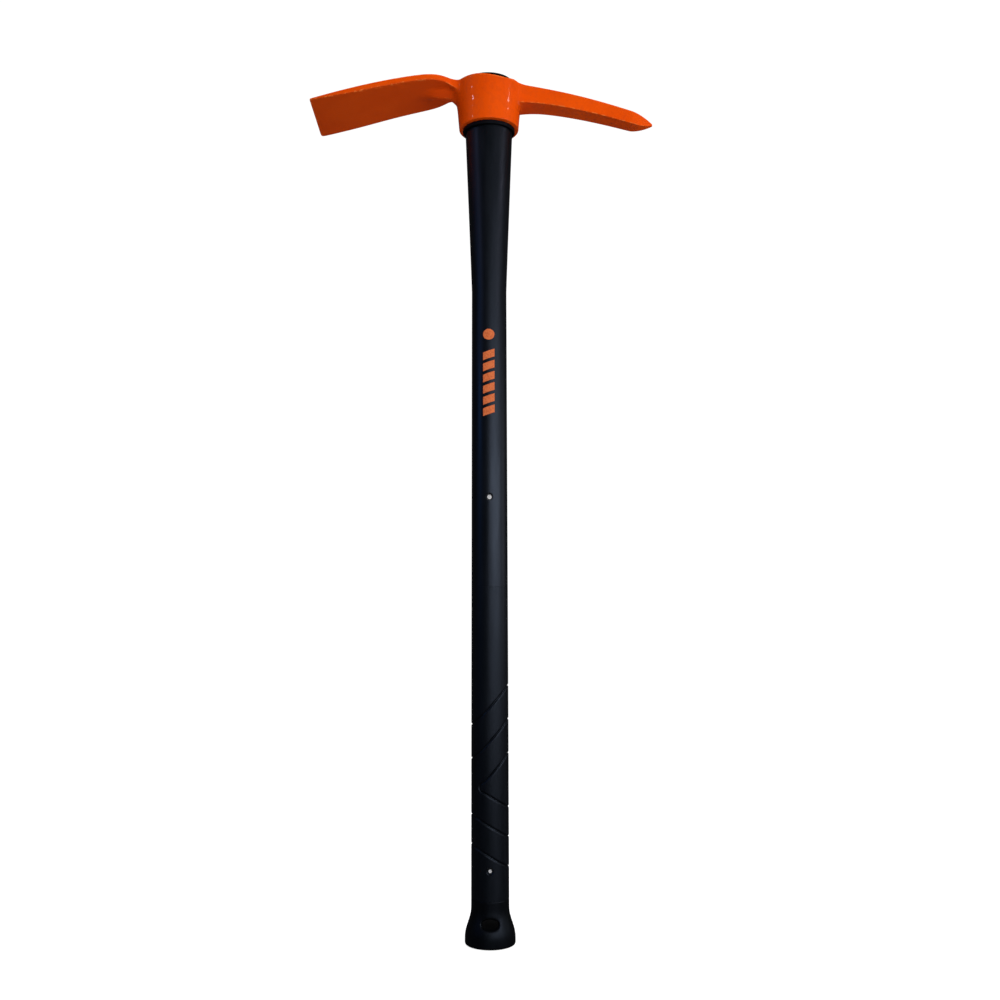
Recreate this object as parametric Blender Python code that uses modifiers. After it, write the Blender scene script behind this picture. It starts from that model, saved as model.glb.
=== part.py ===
"""A pick mattock: a forged head with an adze blade and a square pick, bonded to a
fibreglass handle that has a moulded jacket, a grooved grip and an end knob.

The origin is on the handle's axis, in the plane of the eye's lower rim. +Z runs up
the handle, +X points to the tip of the pick, and the adze blade reaches to -X.
All sizes are in metres.
"""

import math

import bmesh
import bpy

# Fits and fineness
GAP = 0.0003                     # clearance between pieces that touch
ROUND_STEPS = 48                 # facets round the turned and oval pieces
HEAD_LEVELS = 1                  # subdivision of the head's cage
GROOVE_POINTS = 40               # points round one groove of the grip

# Whole handle
HANDLE_LENGTH = 0.914            # from the butt to the top of the crown, 36 in
CORE_RADIUS = 0.015875           # 1 1/4 in pultruded rod
JACKET_WALL = 0.0026             # over the core, on the round shaft
NECK_WALL_X = 0.0099             # over the core at the eye, towards the blade and the pick
NECK_WALL_Y = 0.0042             # over the core at the eye, at the front and the back
SEAL_WIDTH = 0.0018              # space between the neck and the eye

# Eye of the head
EYE_HEIGHT = 0.0500              # on the handle's axis
EYE_TOP_SLOPE = 0.067            # rise of the top face towards the blade
EYE_RIM_DIP = 0.0020             # hollow of the top face beside the pick
EYE_WALL = 0.0054                # wall at the lower rim
EYE_DRAFT = 0.085                # outward growth of the outside per unit of height
EYE_TAPER = 0.05                 # growth of the hole towards the top
EYE_ROUND = 0.0012               # rounding of the rims
EYE_COLUMNS = 32                 # columns of the cage round the eye
OUTER_RIM_CREASE = 0.6           # 0 is round, 1 is sharp
INNER_RIM_CREASE = 0.7

# Adze blade
BLADE_REACH = 0.1937             # from the handle's axis to the cutting edge
BLADE_EDGE_WIDTH = 0.076
BLADE_ROOT_WIDTH = 0.0585        # width that the straight sides would have at the eye
BLADE_NECK_WIDTH = 0.0282        # width where the shoulders meet the eye
SHOULDER_LENGTH = 0.015          # how fast the shoulders widen
SHOULDER_CURVE = 1.6
BLADE_THICKNESS = 0.0060
BLADE_EDGE_THICKNESS = 0.0011
BLADE_BEVEL_LENGTH = 0.062       # thinning behind the cutting edge
BLADE_BEVEL_CURVE = 1.8          # 1 is straight, more keeps the edge stout
BLADE_DROP = 0.0366              # from the eye's top down to the cutting edge
BLADE_CURVE = 1.5                # 1 is straight, more bends down later
BLADE_FILLET = 0.0040            # growth of the underside into the eye
BLADE_FILLET_LENGTH = 0.004
RIB_DEPTH = 0.0085               # ridge under the blade's root
RIB_LENGTH = 0.038
RIB_HALF_WIDTH = 0.0022          # of the ridge
RIB_BASE_HALF_WIDTH = 0.0085
RIB_ROOT_DROP = 0.0100           # how far the rib runs down the eye
BLADE_COLUMN_SHARES = (0.2, 0.6) # places of the inner columns at the cutting edge
BLADE_SHOULDER_SHARES = (0.22, 0.5, 0.85, 1.3, 1.9, 2.8)
BLADE_BEVEL_SHARES = (0, 0.35, 0.7, 1)
BLADE_CREASE = 0.9

# Pick
PICK_REACH = 0.1823              # from the handle's axis to the point
PICK_ROOT_WIDTH = 0.0218
PICK_ROOT_HEIGHT = 0.0186
PICK_END_WIDTH = 0.0158          # where the point begins
PICK_END_HEIGHT = 0.0146
PICK_FILLET = 0.0016             # growth of the section into the eye
PICK_FILLET_LENGTH = 0.012
PICK_POINT_LENGTH = 0.0250
PICK_SHOULDER_ROUND = 0.0025     # half length of the bend into the point
PICK_TIP = 0.0018                # blunt tip
PICK_SIDE_ROUND = 1.15           # 1 is a straight pyramid, more is rounder in plan
PICK_BACK_ROUND = 1.6            # the same in side view
PICK_DROP = 0.0269               # centre line, root to the start of the point
PICK_POINT_DROP = 0.0044         # centre line along the point
PICK_CURVE = 1.48
PICK_COLUMN_SHARES = (-0.5, -0.3, -0.1, 0.1, 0.3, 0.5)
PICK_FILLET_SHARES = (0.3, 0.9, 1.9)
PICK_BODY_STATIONS = 4
PICK_POINT_SHARES = (0.35, 0.65, 0.88, 1)
PICK_CREASE = 0.85

# Jacket of the handle
NECK_STRAIGHT = 0.010            # straight stretch under the eye
NECK_LENGTH = 0.180              # taper from the oval neck to the round shaft
NECK_CURVE = 1.05
TENON_TAPER = 0.02               # slimming of the tenon per unit of height
TENON_DEPTH = 0.0024             # the tenon's end under the eye's top

# Seal ring in the eye's mouth
RING_BELOW = 0.0043              # how far it stands out of the eye
RING_INSIDE = 0.0040             # how far it reaches into the eye
RING_ROUND = 0.0009

# Crown over the tenon
CROWN_PROUD = 0.0093             # from the eye's top on the axis to the crown's top
CROWN_EDGE_HEIGHT = 0.0088       # upright side of the crown
CROWN_MARGIN = 0.0024            # space round the crown in the eye
CROWN_RINGS = 5

# Locating holes of the jacket's mould, through to the core
HOLE_MOUTH_RADIUS = 0.0039
UPPER_HOLE_ROOT_RADIUS = 0.0031
LOWER_HOLE_ROOT_RADIUS = 0.0024
UPPER_HOLE_HEIGHT = 0.0923       # above the grip
LOWER_HOLE_HEIGHT = 0.0705       # above the butt

# Grip
GRIP_LENGTH = 0.3030             # from the knob's seat up to the grip's top edge
GROOVE_RADIUS = 0.0015
STEEP_GROOVE_HEIGHT = 0.2473     # right end of the first steep groove above the butt
STEEP_GROOVE_PITCH = 0.0331
STEEP_GROOVE_SLOPE = 1.03        # fall per unit of width
STEEP_GROOVE_SAG = 0.0022
SHALLOW_GROOVE_HEIGHT = 0.1290   # right end of the turned-back groove above the butt
SHALLOW_GROOVE_PITCH = 0.0282
SHALLOW_GROOVE_SLOPE = 0.57      # rise per unit of width, towards the blade's side
SHALLOW_GROOVE_SAG = 0.0008
TURN_X = 0.0065                  # left of the middle, where the steep groove starts to turn back
TURN_DEPTH = 0.0082              # how far the turn bulges on from there

# Knob
KNOB_RADIUS = 0.0248
KNOB_EDGE_ROUND = 0.0030         # rounding of the bottom edge
KNOB_WALL_LENGTH = 0.0040        # upright wall over the rounding
KNOB_FLARE_LENGTH = 0.0270       # from the wall up to the shaft's width
KNOB_COLLAR_LENGTH = 0.0087      # straight end under the grip
CORE_SOCKET = 0.0060             # how far the core reaches into the knob
HANG_HOLE_FLOOR = 0.0163         # material under the hole
HANG_HOLE_HALF_X = 0.0092
HANG_HOLE_HALF_Z = 0.0056

# Sizes that follow from those above
SHAFT_RADIUS = CORE_RADIUS + JACKET_WALL
NECK_HALF_X = CORE_RADIUS + NECK_WALL_X
NECK_HALF_Y = CORE_RADIUS + NECK_WALL_Y
EYE_OUTER_X = NECK_HALF_X + SEAL_WIDTH + EYE_WALL
EYE_OUTER_Y = NECK_HALF_Y + SEAL_WIDTH + EYE_WALL
EYE_ROOT_X = EYE_OUTER_X + EYE_DRAFT * EYE_HEIGHT
CROWN_TOP = EYE_HEIGHT + CROWN_PROUD
BUTT = CROWN_TOP - HANDLE_LENGTH
TENON_TOP = EYE_HEIGHT - TENON_DEPTH
KNOB_FLARE_BOTTOM = BUTT + KNOB_EDGE_ROUND + KNOB_WALL_LENGTH
KNOB_FLARE_TOP = KNOB_FLARE_BOTTOM + KNOB_FLARE_LENGTH
KNOB_SEAT = KNOB_FLARE_TOP + KNOB_COLLAR_LENGTH
HANG_HOLE_Z = BUTT + HANG_HOLE_FLOOR + HANG_HOLE_HALF_Z
GRIP_TOP = KNOB_SEAT + GRIP_LENGTH
BORE_RADIUS = CORE_RADIUS + GAP
# A subdivided cage draws in by this share, so its corners stand that much further out
COLUMN_SHRINK = (2 + math.cos(2 * math.pi / EYE_COLUMNS)) / 3


def clear_scene():
    for obj in list(bpy.data.objects):
        bpy.data.objects.remove(obj, do_unlink=True)


def collection(name):
    made = bpy.data.collections.new(name)
    bpy.context.scene.collection.children.link(made)
    return made


def material(name, colour, roughness, metallic=0.0):
    made = bpy.data.materials.new(name)
    made.use_nodes = True
    shader = made.node_tree.nodes["Principled BSDF"]
    shader.inputs["Base Color"].default_value = (*colour, 1.0)
    shader.inputs["Roughness"].default_value = roughness
    shader.inputs["Metallic"].default_value = metallic
    return made


def add_object(name, mesh, group, finish=None):
    obj = bpy.data.objects.new(name, mesh)
    group.objects.link(obj)
    if finish:
        mesh.materials.append(finish)
    return obj


def mesh_from(bm, name, sharp_degrees=35):
    bmesh.ops.recalc_face_normals(bm, faces=bm.faces)
    mesh = bpy.data.meshes.new(name)
    bm.to_mesh(mesh)
    bm.free()
    mesh.shade_smooth()
    mesh.set_sharp_from_angle(angle=math.radians(sharp_degrees))
    return mesh


def cut(obj, cutter):
    cutter.hide_render = True
    cutter.display_type = "WIRE"
    boolean = obj.modifiers.new("cut " + cutter.name, "BOOLEAN")
    boolean.operation = "DIFFERENCE"
    boolean.solver = "EXACT"
    boolean.object = cutter


# Oval pieces are lofted through rings given as (half x, half y, z)

def oval_ring(bm, half_x, half_y, z, steps):
    verts = bmesh.ops.create_circle(bm, cap_ends=False, segments=steps, radius=1)["verts"]
    for vert in verts:
        vert.co = (vert.co.x * half_x, vert.co.y * half_y, z)
    return verts


def ring_edges(verts):
    return [edge for vert, after in zip(verts, verts[1:] + verts[:1])
            for edge in vert.link_edges if edge.other_vert(vert) == after]


def loft(bm, lower, upper):
    """Faces between two rings of different width or height."""
    corners = zip(lower, lower[1:] + lower[:1], upper[1:] + upper[:1], upper)
    for corner in corners:
        bm.faces.new(corner)


def oval_sleeve(name, rings, group, finish):
    """A closed tube: the rings run down the outside and back up the inside."""
    bm = bmesh.new()
    loops = [oval_ring(bm, *ring, ROUND_STEPS) for ring in rings]
    for lower, upper in zip(loops, loops[1:] + loops[:1]):
        loft(bm, lower, upper)
    return add_object(name, mesh_from(bm, name), group, finish)


def oval_solid(name, rings, group, finish):
    """A solid with a flat face at its first and last ring."""
    bm = bmesh.new()
    loops = [oval_ring(bm, *ring, ROUND_STEPS) for ring in rings]
    for lower, upper in zip(loops, loops[1:]):
        loft(bm, lower, upper)
    bm.faces.new(loops[0])
    bm.faces.new(loops[-1])
    return add_object(name, mesh_from(bm, name), group, finish)


def turned(name, profile, group, finish):
    """A profile of (radius, z), down the outer side, turned round the handle's axis."""
    bm = bmesh.new()
    verts = [bm.verts.new((radius, 0, z)) for radius, z in profile]
    for first, second in zip(verts, verts[1:]):
        bm.edges.new((first, second))
    if min(profile[0][0], profile[-1][0]) > 0:
        bm.edges.new((verts[-1], verts[0]))
    mesh = bpy.data.meshes.new(name)
    bm.to_mesh(mesh)
    bm.free()
    obj = add_object(name, mesh, group, finish)
    screw = obj.modifiers.new("turn", "SCREW")
    screw.axis = "Z"
    screw.steps = ROUND_STEPS
    screw.render_steps = ROUND_STEPS
    screw.use_merge_vertices = True
    screw.merge_threshold = 0.00001
    screw.use_smooth_shade = True
    return obj


# Head

def eye_outer(z):
    return EYE_OUTER_X + EYE_DRAFT * z, EYE_OUTER_Y + EYE_DRAFT * z


def eye_inner(z):
    return (EYE_OUTER_X - EYE_WALL + EYE_TAPER * z,
            EYE_OUTER_Y - EYE_WALL + EYE_TAPER * z)


def eye_top(x):
    return EYE_HEIGHT - EYE_TOP_SLOPE * x


def eye_loop(bm, halves_at, blade_z, pick_z, margin=0.0, dip=0.0):
    """A ring of cage corners whose height runs from blade_z at -X to pick_z at +X."""
    verts = bmesh.ops.create_circle(bm, cap_ends=False, segments=EYE_COLUMNS, radius=1)["verts"]
    for number, vert in enumerate(verts):
        turn = (number + 0.5) * 2 * math.pi / EYE_COLUMNS
        share = (1 + math.cos(turn)) / 2
        z = blade_z + (pick_z - blade_z) * share - dip * share * math.sin(turn) ** 2
        half_x, half_y = ((half + margin) / COLUMN_SHRINK for half in halves_at(z))
        vert.co = (half_x * math.cos(turn), half_y * math.sin(turn), z)
    return verts


def blade_half_width(x):
    along = (x - EYE_ROOT_X) / (BLADE_REACH - EYE_ROOT_X)
    straight = BLADE_ROOT_WIDTH + (BLADE_EDGE_WIDTH - BLADE_ROOT_WIDTH) * along
    shoulder = math.exp(-((x - EYE_ROOT_X) / SHOULDER_LENGTH) ** SHOULDER_CURVE)
    return (straight - (BLADE_ROOT_WIDTH - BLADE_NECK_WIDTH) * shoulder) / 2


def blade_top(x):
    along = (x - EYE_ROOT_X) / (BLADE_REACH - EYE_ROOT_X)
    return eye_top(-EYE_ROOT_X) - BLADE_DROP * along ** BLADE_CURVE


def blade_thickness(x):
    bevel = max(0.0, 1 - (BLADE_REACH - x) / BLADE_BEVEL_LENGTH) ** BLADE_BEVEL_CURVE
    fillet = math.exp(-((x - EYE_ROOT_X) / BLADE_FILLET_LENGTH) ** 2)
    body = BLADE_THICKNESS + (BLADE_EDGE_THICKNESS - BLADE_THICKNESS) * bevel
    return body + BLADE_FILLET * fillet


def blade_section(x):
    """Columns of the blade's cage from -Y to +Y, each as (bottom, top) corners."""
    half = blade_half_width(x)
    top = blade_top(x)
    bottom = top - blade_thickness(x)
    along = (x - EYE_ROOT_X) / (BLADE_REACH - EYE_ROOT_X)
    inner, outer = (half * share for share in BLADE_COLUMN_SHARES)
    ridge = RIB_HALF_WIDTH + (inner - RIB_HALF_WIDTH) * along
    base = RIB_BASE_HALF_WIDTH + (outer - RIB_BASE_HALF_WIDTH) * along
    depth = RIB_DEPTH * max(0.0, 1 - ((x - EYE_ROOT_X) / RIB_LENGTH) ** 2)
    lows = (bottom, bottom, bottom - depth)
    places = list(zip((-half, -base, -ridge), lows)) + list(zip((ridge, base, half), lows[::-1]))
    return [[(-x, y, low), (-x, y, top)] for y, low in places]


def blade_stations():
    shoulder = [EYE_ROOT_X + SHOULDER_LENGTH * share for share in BLADE_SHOULDER_SHARES]
    bevel = BLADE_REACH - BLADE_BEVEL_LENGTH
    middle = (shoulder[-1] + bevel) / 2
    thinning = [bevel + BLADE_BEVEL_LENGTH * share for share in BLADE_BEVEL_SHARES]
    return shoulder + [middle] + thinning


def pick_section(x):
    """Columns of the pick's cage from -Y to +Y, each as (bottom, middle, top) corners."""
    neck = PICK_REACH - PICK_POINT_LENGTH
    along = min(1.0, (x - EYE_ROOT_X) / (neck - EYE_ROOT_X))
    point = max(0.0, (x - neck) / PICK_POINT_LENGTH)
    growth = PICK_FILLET * math.exp(-((x - EYE_ROOT_X) / PICK_FILLET_LENGTH) ** 2)
    width = PICK_ROOT_WIDTH + (PICK_END_WIDTH - PICK_ROOT_WIDTH) * along + growth
    width += (PICK_TIP - width) * point ** PICK_SIDE_ROUND
    height = PICK_ROOT_HEIGHT + (PICK_END_HEIGHT - PICK_ROOT_HEIGHT) * along
    height += (PICK_TIP - height) * point ** PICK_BACK_ROUND
    centre = eye_top(EYE_ROOT_X) - PICK_ROOT_HEIGHT / 2
    centre -= PICK_DROP * along ** PICK_CURVE + PICK_POINT_DROP * point
    low = centre - height / 2 - growth
    high = centre + height / 2
    return [[(x, width * share, z) for z in (low, (low + high) / 2, high)]
            for share in PICK_COLUMN_SHARES]


def pick_stations():
    neck = PICK_REACH - PICK_POINT_LENGTH
    root = [EYE_ROOT_X + PICK_FILLET_LENGTH * share for share in PICK_FILLET_SHARES]
    step = (neck - PICK_SHOULDER_ROUND - root[-1]) / PICK_BODY_STATIONS
    body = [root[-1] + step * number for number in range(1, PICK_BODY_STATIONS + 1)]
    point = [neck + PICK_SHOULDER_ROUND]
    point += [neck + PICK_POINT_LENGTH * share for share in PICK_POINT_SHARES]
    return root + body + point


def face_between(corners):
    """The face of the cage that has these four corners."""
    shared = set(corners[0].link_faces)
    for corner in corners[1:]:
        shared &= set(corner.link_faces)
    return shared.pop()


def grow_arm(bm, faces, sections):
    """Extrudes a patch of the eye through the sections, and returns each section's corners."""
    grown = []
    for section in sections:
        made = bmesh.ops.extrude_face_region(bm, geom=faces)["geom"]
        bmesh.ops.delete(bm, geom=faces, context="FACES")
        faces = [item for item in made if isinstance(item, bmesh.types.BMFace)]
        corners = [item for item in made if isinstance(item, bmesh.types.BMVert)]
        corners.sort(key=lambda corner: corner.co.y)
        rows = len(section[0])
        columns = []
        for number, places in enumerate(section):
            column = sorted(corners[number * rows:(number + 1) * rows], key=lambda c: c.co.z)
            for corner, place in zip(column, places):
                corner.co = place
            columns.append(column)
        grown.append(columns)
    return grown


def crease_path(bm, layer, path, value):
    for first, second in zip(path, path[1:]):
        bm.edges.get((first, second))[layer] = value


def crease_arm(bm, layer, roots, grown, value):
    """Sharpens an arm's four long edges and the outline of its end."""
    last = grown[-1]
    for side in (0, -1):
        for level in (0, -1):
            line = [columns[side][level] for columns in grown]
            crease_path(bm, layer, line, value)
            crease_path(bm, layer, [roots[side][level], line[0]], value / 2)
    outline = [column[0] for column in last] + last[-1][1:]
    outline += [column[-1] for column in reversed(last[:-1])] + list(reversed(last[0][:-1]))
    crease_path(bm, layer, outline, value)


def make_head(group, finish):
    bm = bmesh.new()
    layer = bm.edges.layers.float.new("crease_edge")
    blade_high = eye_top(-EYE_ROOT_X)
    blade_low = blade_high - BLADE_THICKNESS - BLADE_FILLET
    pick_high = eye_top(EYE_ROOT_X)
    pick_low = pick_high - PICK_ROOT_HEIGHT - PICK_FILLET
    # Rows 4 and 5 bound the blade's root, and rows 3 to 5 the pick's
    row_heights = [
        (0, 0),
        (EYE_ROUND, EYE_ROUND),
        (blade_low / 3, pick_low / 2),
        (blade_low * 2 / 3, pick_low),
        (blade_low, (pick_low + pick_high) / 2),
    ]
    outer = [eye_loop(bm, eye_outer, low, high) for low, high in row_heights]
    outer.append(eye_loop(bm, eye_outer, blade_high, pick_high, dip=EYE_RIM_DIP))
    inner = [eye_loop(bm, eye_inner, blade_high, pick_high, dip=EYE_RIM_DIP),
             eye_loop(bm, eye_inner, EYE_ROUND, EYE_ROUND),
             eye_loop(bm, eye_inner, 0, 0)]
    rim = [eye_loop(bm, eye_inner, 0, 0, margin=EYE_ROUND),
           eye_loop(bm, eye_outer, 0, 0, margin=-EYE_ROUND)]
    loops = outer + inner + rim
    for first, second in zip(loops, loops[1:] + loops[:1]):
        loft(bm, first, second)

    half_count = EYE_COLUMNS // 2
    blade_columns = [half_count - number for number in range(-2, 4)]
    pick_columns = list(range(-3, 3))
    for column, share in zip(blade_columns[1:-1], (0.5, 1, 1, 0.5)):
        outer[4][column].co.z -= RIB_ROOT_DROP * share
    arms = (
        (blade_columns, [4, 5], [blade_section(x) for x in blade_stations()], BLADE_CREASE),
        (pick_columns, [3, 4, 5], [pick_section(x) for x in pick_stations()], PICK_CREASE),
    )
    rim_outline = set()
    for columns, rows, sections, value in arms:
        roots = [[outer[row][column] for row in rows] for column in columns]
        faces = [face_between([left[level], right[level], right[level + 1], left[level + 1]])
                 for left, right in zip(roots, roots[1:]) for level in range(len(rows) - 1)]
        rim_outline |= {frozenset((left[-1], right[-1])) for left, right in zip(roots, roots[1:])}
        grown = grow_arm(bm, faces, sections)
        crease_arm(bm, layer, roots, grown, value)

    for edge in ring_edges(outer[-1]):
        if frozenset(edge.verts) not in rim_outline:
            edge[layer] = OUTER_RIM_CREASE
    for edge in ring_edges(inner[0]):
        edge[layer] = INNER_RIM_CREASE
    head = add_object("mattock_head", mesh_from(bm, "mattock_head"), group, finish)
    smooth = head.modifiers.new("forged shape", "SUBSURF")
    smooth.levels = HEAD_LEVELS
    smooth.render_levels = HEAD_LEVELS
    return head


# Handle

def neck_halves(z):
    """Half axes of the handle's outside at a height under the eye."""
    share = (z + NECK_STRAIGHT + NECK_LENGTH) / NECK_LENGTH
    share = min(1.0, max(0.0, share)) ** NECK_CURVE
    return (SHAFT_RADIUS + (NECK_HALF_X - SHAFT_RADIUS) * share,
            SHAFT_RADIUS + (NECK_HALF_Y - SHAFT_RADIUS) * share)


def tenon_halves(z):
    return NECK_HALF_X - TENON_TAPER * z, NECK_HALF_Y - TENON_TAPER * z


def make_hole(name, z, root_radius, side, group):
    """A tapered cutter from outside the handle to its core, on the -Y or +Y side."""
    slope = (HOLE_MOUTH_RADIUS - root_radius) / JACKET_WALL
    inside = GAP * 2
    outside = JACKET_WALL
    depth = inside + JACKET_WALL + outside
    bm = bmesh.new()
    bmesh.ops.create_cone(
        bm, cap_ends=True, segments=ROUND_STEPS // 2,
        radius1=root_radius - slope * inside,
        radius2=HOLE_MOUTH_RADIUS + slope * outside,
        depth=depth)
    cutter = add_object(name, mesh_from(bm, name), group)
    cutter.location = (0, side * (CORE_RADIUS - inside + depth / 2), z)
    cutter.rotation_euler = (-side * math.pi / 2, 0, 0)
    return cutter


def cut_locating_holes(obj, label, z, root_radius, group):
    for side, word in ((-1, "front"), (1, "back")):
        cut(obj, make_hole(label + "_" + word, z, root_radius, side, group))


def make_core(group, finish):
    bottom = KNOB_SEAT - CORE_SOCKET + GAP
    bm = bmesh.new()
    bmesh.ops.create_cone(bm, cap_ends=True, segments=ROUND_STEPS,
                          radius1=CORE_RADIUS, radius2=CORE_RADIUS, depth=TENON_TOP - bottom)
    core = add_object("fibreglass_core", mesh_from(bm, "fibreglass_core"), group, finish)
    core.location.z = (TENON_TOP + bottom) / 2
    return core


def make_jacket(group, cutters, finish):
    bottom = GRIP_TOP + GAP
    rings = [(*tenon_halves(TENON_TOP), TENON_TOP), (*tenon_halves(0), 0)]
    taper_rings = 14
    rings += [(*neck_halves(z), z) for z in (
        -NECK_STRAIGHT - NECK_LENGTH * number / taper_rings for number in range(taper_rings + 1))]
    rings += [(SHAFT_RADIUS, SHAFT_RADIUS, bottom),
              (BORE_RADIUS, BORE_RADIUS, bottom),
              (BORE_RADIUS, BORE_RADIUS, TENON_TOP)]
    jacket = oval_sleeve("handle_jacket", rings, group, finish)
    cut_locating_holes(jacket, "upper_hole", GRIP_TOP + UPPER_HOLE_HEIGHT,
                       UPPER_HOLE_ROOT_RADIUS, cutters)
    return jacket


def make_seal_ring(group, finish):
    outer_x, outer_y = (half - GAP for half in eye_inner(0))
    inner_x, inner_y = (half + GAP for half in neck_halves(0))
    rings = [(outer_x, outer_y, RING_INSIDE)]
    for turn in (0, math.pi / 4, math.pi / 2):
        inset = RING_ROUND * (1 - math.cos(turn))
        rings.append((outer_x - inset, outer_y - inset,
                      -RING_BELOW + RING_ROUND * (1 - math.sin(turn))))
    rings += [(inner_x, inner_y, -RING_BELOW), (inner_x, inner_y, RING_INSIDE)]
    return oval_sleeve("eye_seal_ring", rings, group, finish)


def make_bond(group, finish):
    """The resin between the tenon and the eye, wider at the top, where it locks the head."""
    low = RING_INSIDE + GAP
    high = TENON_TOP
    outer_low, outer_high = eye_inner(low), eye_inner(high)
    inner_low, inner_high = tenon_halves(low), tenon_halves(high)
    rings = [
        (outer_high[0] - GAP, outer_high[1] - GAP, high),
        (outer_low[0] - GAP, outer_low[1] - GAP, low),
        (inner_low[0] + GAP, inner_low[1] + GAP, low),
        (inner_high[0] + GAP, inner_high[1] + GAP, high),
    ]
    return oval_sleeve("epoxy_bond", rings, group, finish)


def make_crown(group, finish):
    base = TENON_TOP + GAP
    half_x, half_y = (half - CROWN_MARGIN for half in eye_inner(TENON_TOP))
    edge = base + CROWN_EDGE_HEIGHT
    rings = [(half_x, half_y, base), (half_x, half_y, edge)]
    for number in range(1, CROWN_RINGS + 1):
        turn = number / (CROWN_RINGS + 1) * math.pi / 2
        rings.append((half_x * math.cos(turn), half_y * math.cos(turn),
                      edge + (CROWN_TOP - edge) * math.sin(turn)))
    rings[-1] = (rings[-1][0], rings[-1][1], CROWN_TOP)
    return oval_solid("crown_cap", rings, group, finish)


# Grip and knob

def steep_groove(x, number):
    right_end = BUTT + STEEP_GROOVE_HEIGHT - STEEP_GROOVE_PITCH * number
    sag = STEEP_GROOVE_SAG * (1 - (x / SHAFT_RADIUS) ** 2)
    return right_end - STEEP_GROOVE_SLOPE * (SHAFT_RADIUS - x) - sag


def shallow_groove(x, number):
    right_end = BUTT + SHALLOW_GROOVE_HEIGHT - SHALLOW_GROOVE_PITCH * number
    sag = SHALLOW_GROOVE_SAG * (1 - (x / SHAFT_RADIUS) ** 2)
    return right_end + SHALLOW_GROOVE_SLOPE * (SHAFT_RADIUS - x) + sag


def on_surface(x, side, z):
    return (x, side * math.sqrt(max(0.0, SHAFT_RADIUS ** 2 - x ** 2)), z)


def full_groove(height, number):
    """A groove right round the grip, alike on the front and the back."""
    points = []
    for step in range(GROOVE_POINTS):
        turn = 2 * math.pi * step / GROOVE_POINTS
        x = SHAFT_RADIUS * math.cos(turn)
        points.append((x, SHAFT_RADIUS * math.sin(turn), height(x, number)))
    return points


def turned_back_groove(number):
    """The last steep groove turns back into the first shallow one on each side."""
    reach = SHAFT_RADIUS + TURN_X
    half = GROOVE_POINTS // 4
    falls = [SHAFT_RADIUS - reach * (1 - math.cos(math.pi / 2 * step / half))
             for step in range(half + 1)]
    front = [on_surface(x, -1, steep_groove(x, number)) for x in falls]
    start, end = steep_groove(-TURN_X, number), shallow_groove(-TURN_X, 0)
    turn_steps = 6
    for step in range(1, turn_steps):
        turn = math.pi * step / turn_steps
        x = -TURN_X - TURN_DEPTH * math.sin(turn) / 2
        z = (start + end) / 2 + (start - end) / 2 * math.cos(turn)
        front.append(on_surface(x, -1, z))
    front += [on_surface(x, -1, shallow_groove(x, 0)) for x in reversed(falls)]
    back = [(x, -y, z) for x, y, z in reversed(front[1:-1])]
    return front + back


def make_groove(name, points, group):
    curve = bpy.data.curves.new(name, "CURVE")
    curve.dimensions = "3D"
    curve.bevel_depth = GROOVE_RADIUS
    curve.bevel_resolution = 2
    spline = curve.splines.new("POLY")
    spline.points.add(len(points) - 1)
    for point, place in zip(spline.points, points):
        point.co = (*place, 1)
    spline.use_cyclic_u = True
    guide = bpy.data.objects.new(name + "_guide", curve)
    group.objects.link(guide)
    graph = bpy.context.evaluated_depsgraph_get()
    mesh = bpy.data.meshes.new_from_object(guide.evaluated_get(graph))
    bm = bmesh.new()
    bm.from_mesh(mesh)
    bmesh.ops.remove_doubles(bm, verts=bm.verts, dist=0.00001)
    bmesh.ops.recalc_face_normals(bm, faces=bm.faces)
    bm.to_mesh(mesh)
    bm.free()
    cutter = add_object(name, mesh, group)
    cutter.matrix_world = guide.matrix_world
    bpy.data.objects.remove(guide)
    return cutter


def make_grip(group, cutters, finish):
    profile = [(SHAFT_RADIUS, GRIP_TOP), (SHAFT_RADIUS, KNOB_SEAT + GAP),
               (BORE_RADIUS, KNOB_SEAT + GAP), (BORE_RADIUS, GRIP_TOP)]
    grip = turned("grip_sleeve", profile, group, finish)
    paths = [full_groove(steep_groove, 0), full_groove(steep_groove, 1), turned_back_groove(2),
             full_groove(shallow_groove, 1), full_groove(shallow_groove, 2)]
    for number, points in enumerate(paths):
        cut(grip, make_groove("groove_" + str(number + 1), points, cutters))
    cut_locating_holes(grip, "lower_hole", BUTT + LOWER_HOLE_HEIGHT, LOWER_HOLE_ROOT_RADIUS, cutters)
    return grip


def knob_profile():
    """The flare is half a cosine wave from the shaft's width to the knob's width."""
    profile = [(SHAFT_RADIUS, KNOB_SEAT)]
    flare_steps = 8
    for step in range(flare_steps + 1):
        share = step / flare_steps
        swell = (1 - math.cos(math.pi * share)) / 2
        profile.append((SHAFT_RADIUS + (KNOB_RADIUS - SHAFT_RADIUS) * swell,
                        KNOB_FLARE_TOP - KNOB_FLARE_LENGTH * share))
    round_steps = 3
    for step in range(round_steps + 1):
        turn = math.pi / 2 * step / round_steps
        profile.append((KNOB_RADIUS - KNOB_EDGE_ROUND * (1 - math.cos(turn)),
                        BUTT + KNOB_EDGE_ROUND * (1 - math.sin(turn))))
    profile.append((0, BUTT))
    socket_floor = KNOB_SEAT - CORE_SOCKET
    return [(0, socket_floor), (BORE_RADIUS, socket_floor), (BORE_RADIUS, KNOB_SEAT)] + profile


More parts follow.
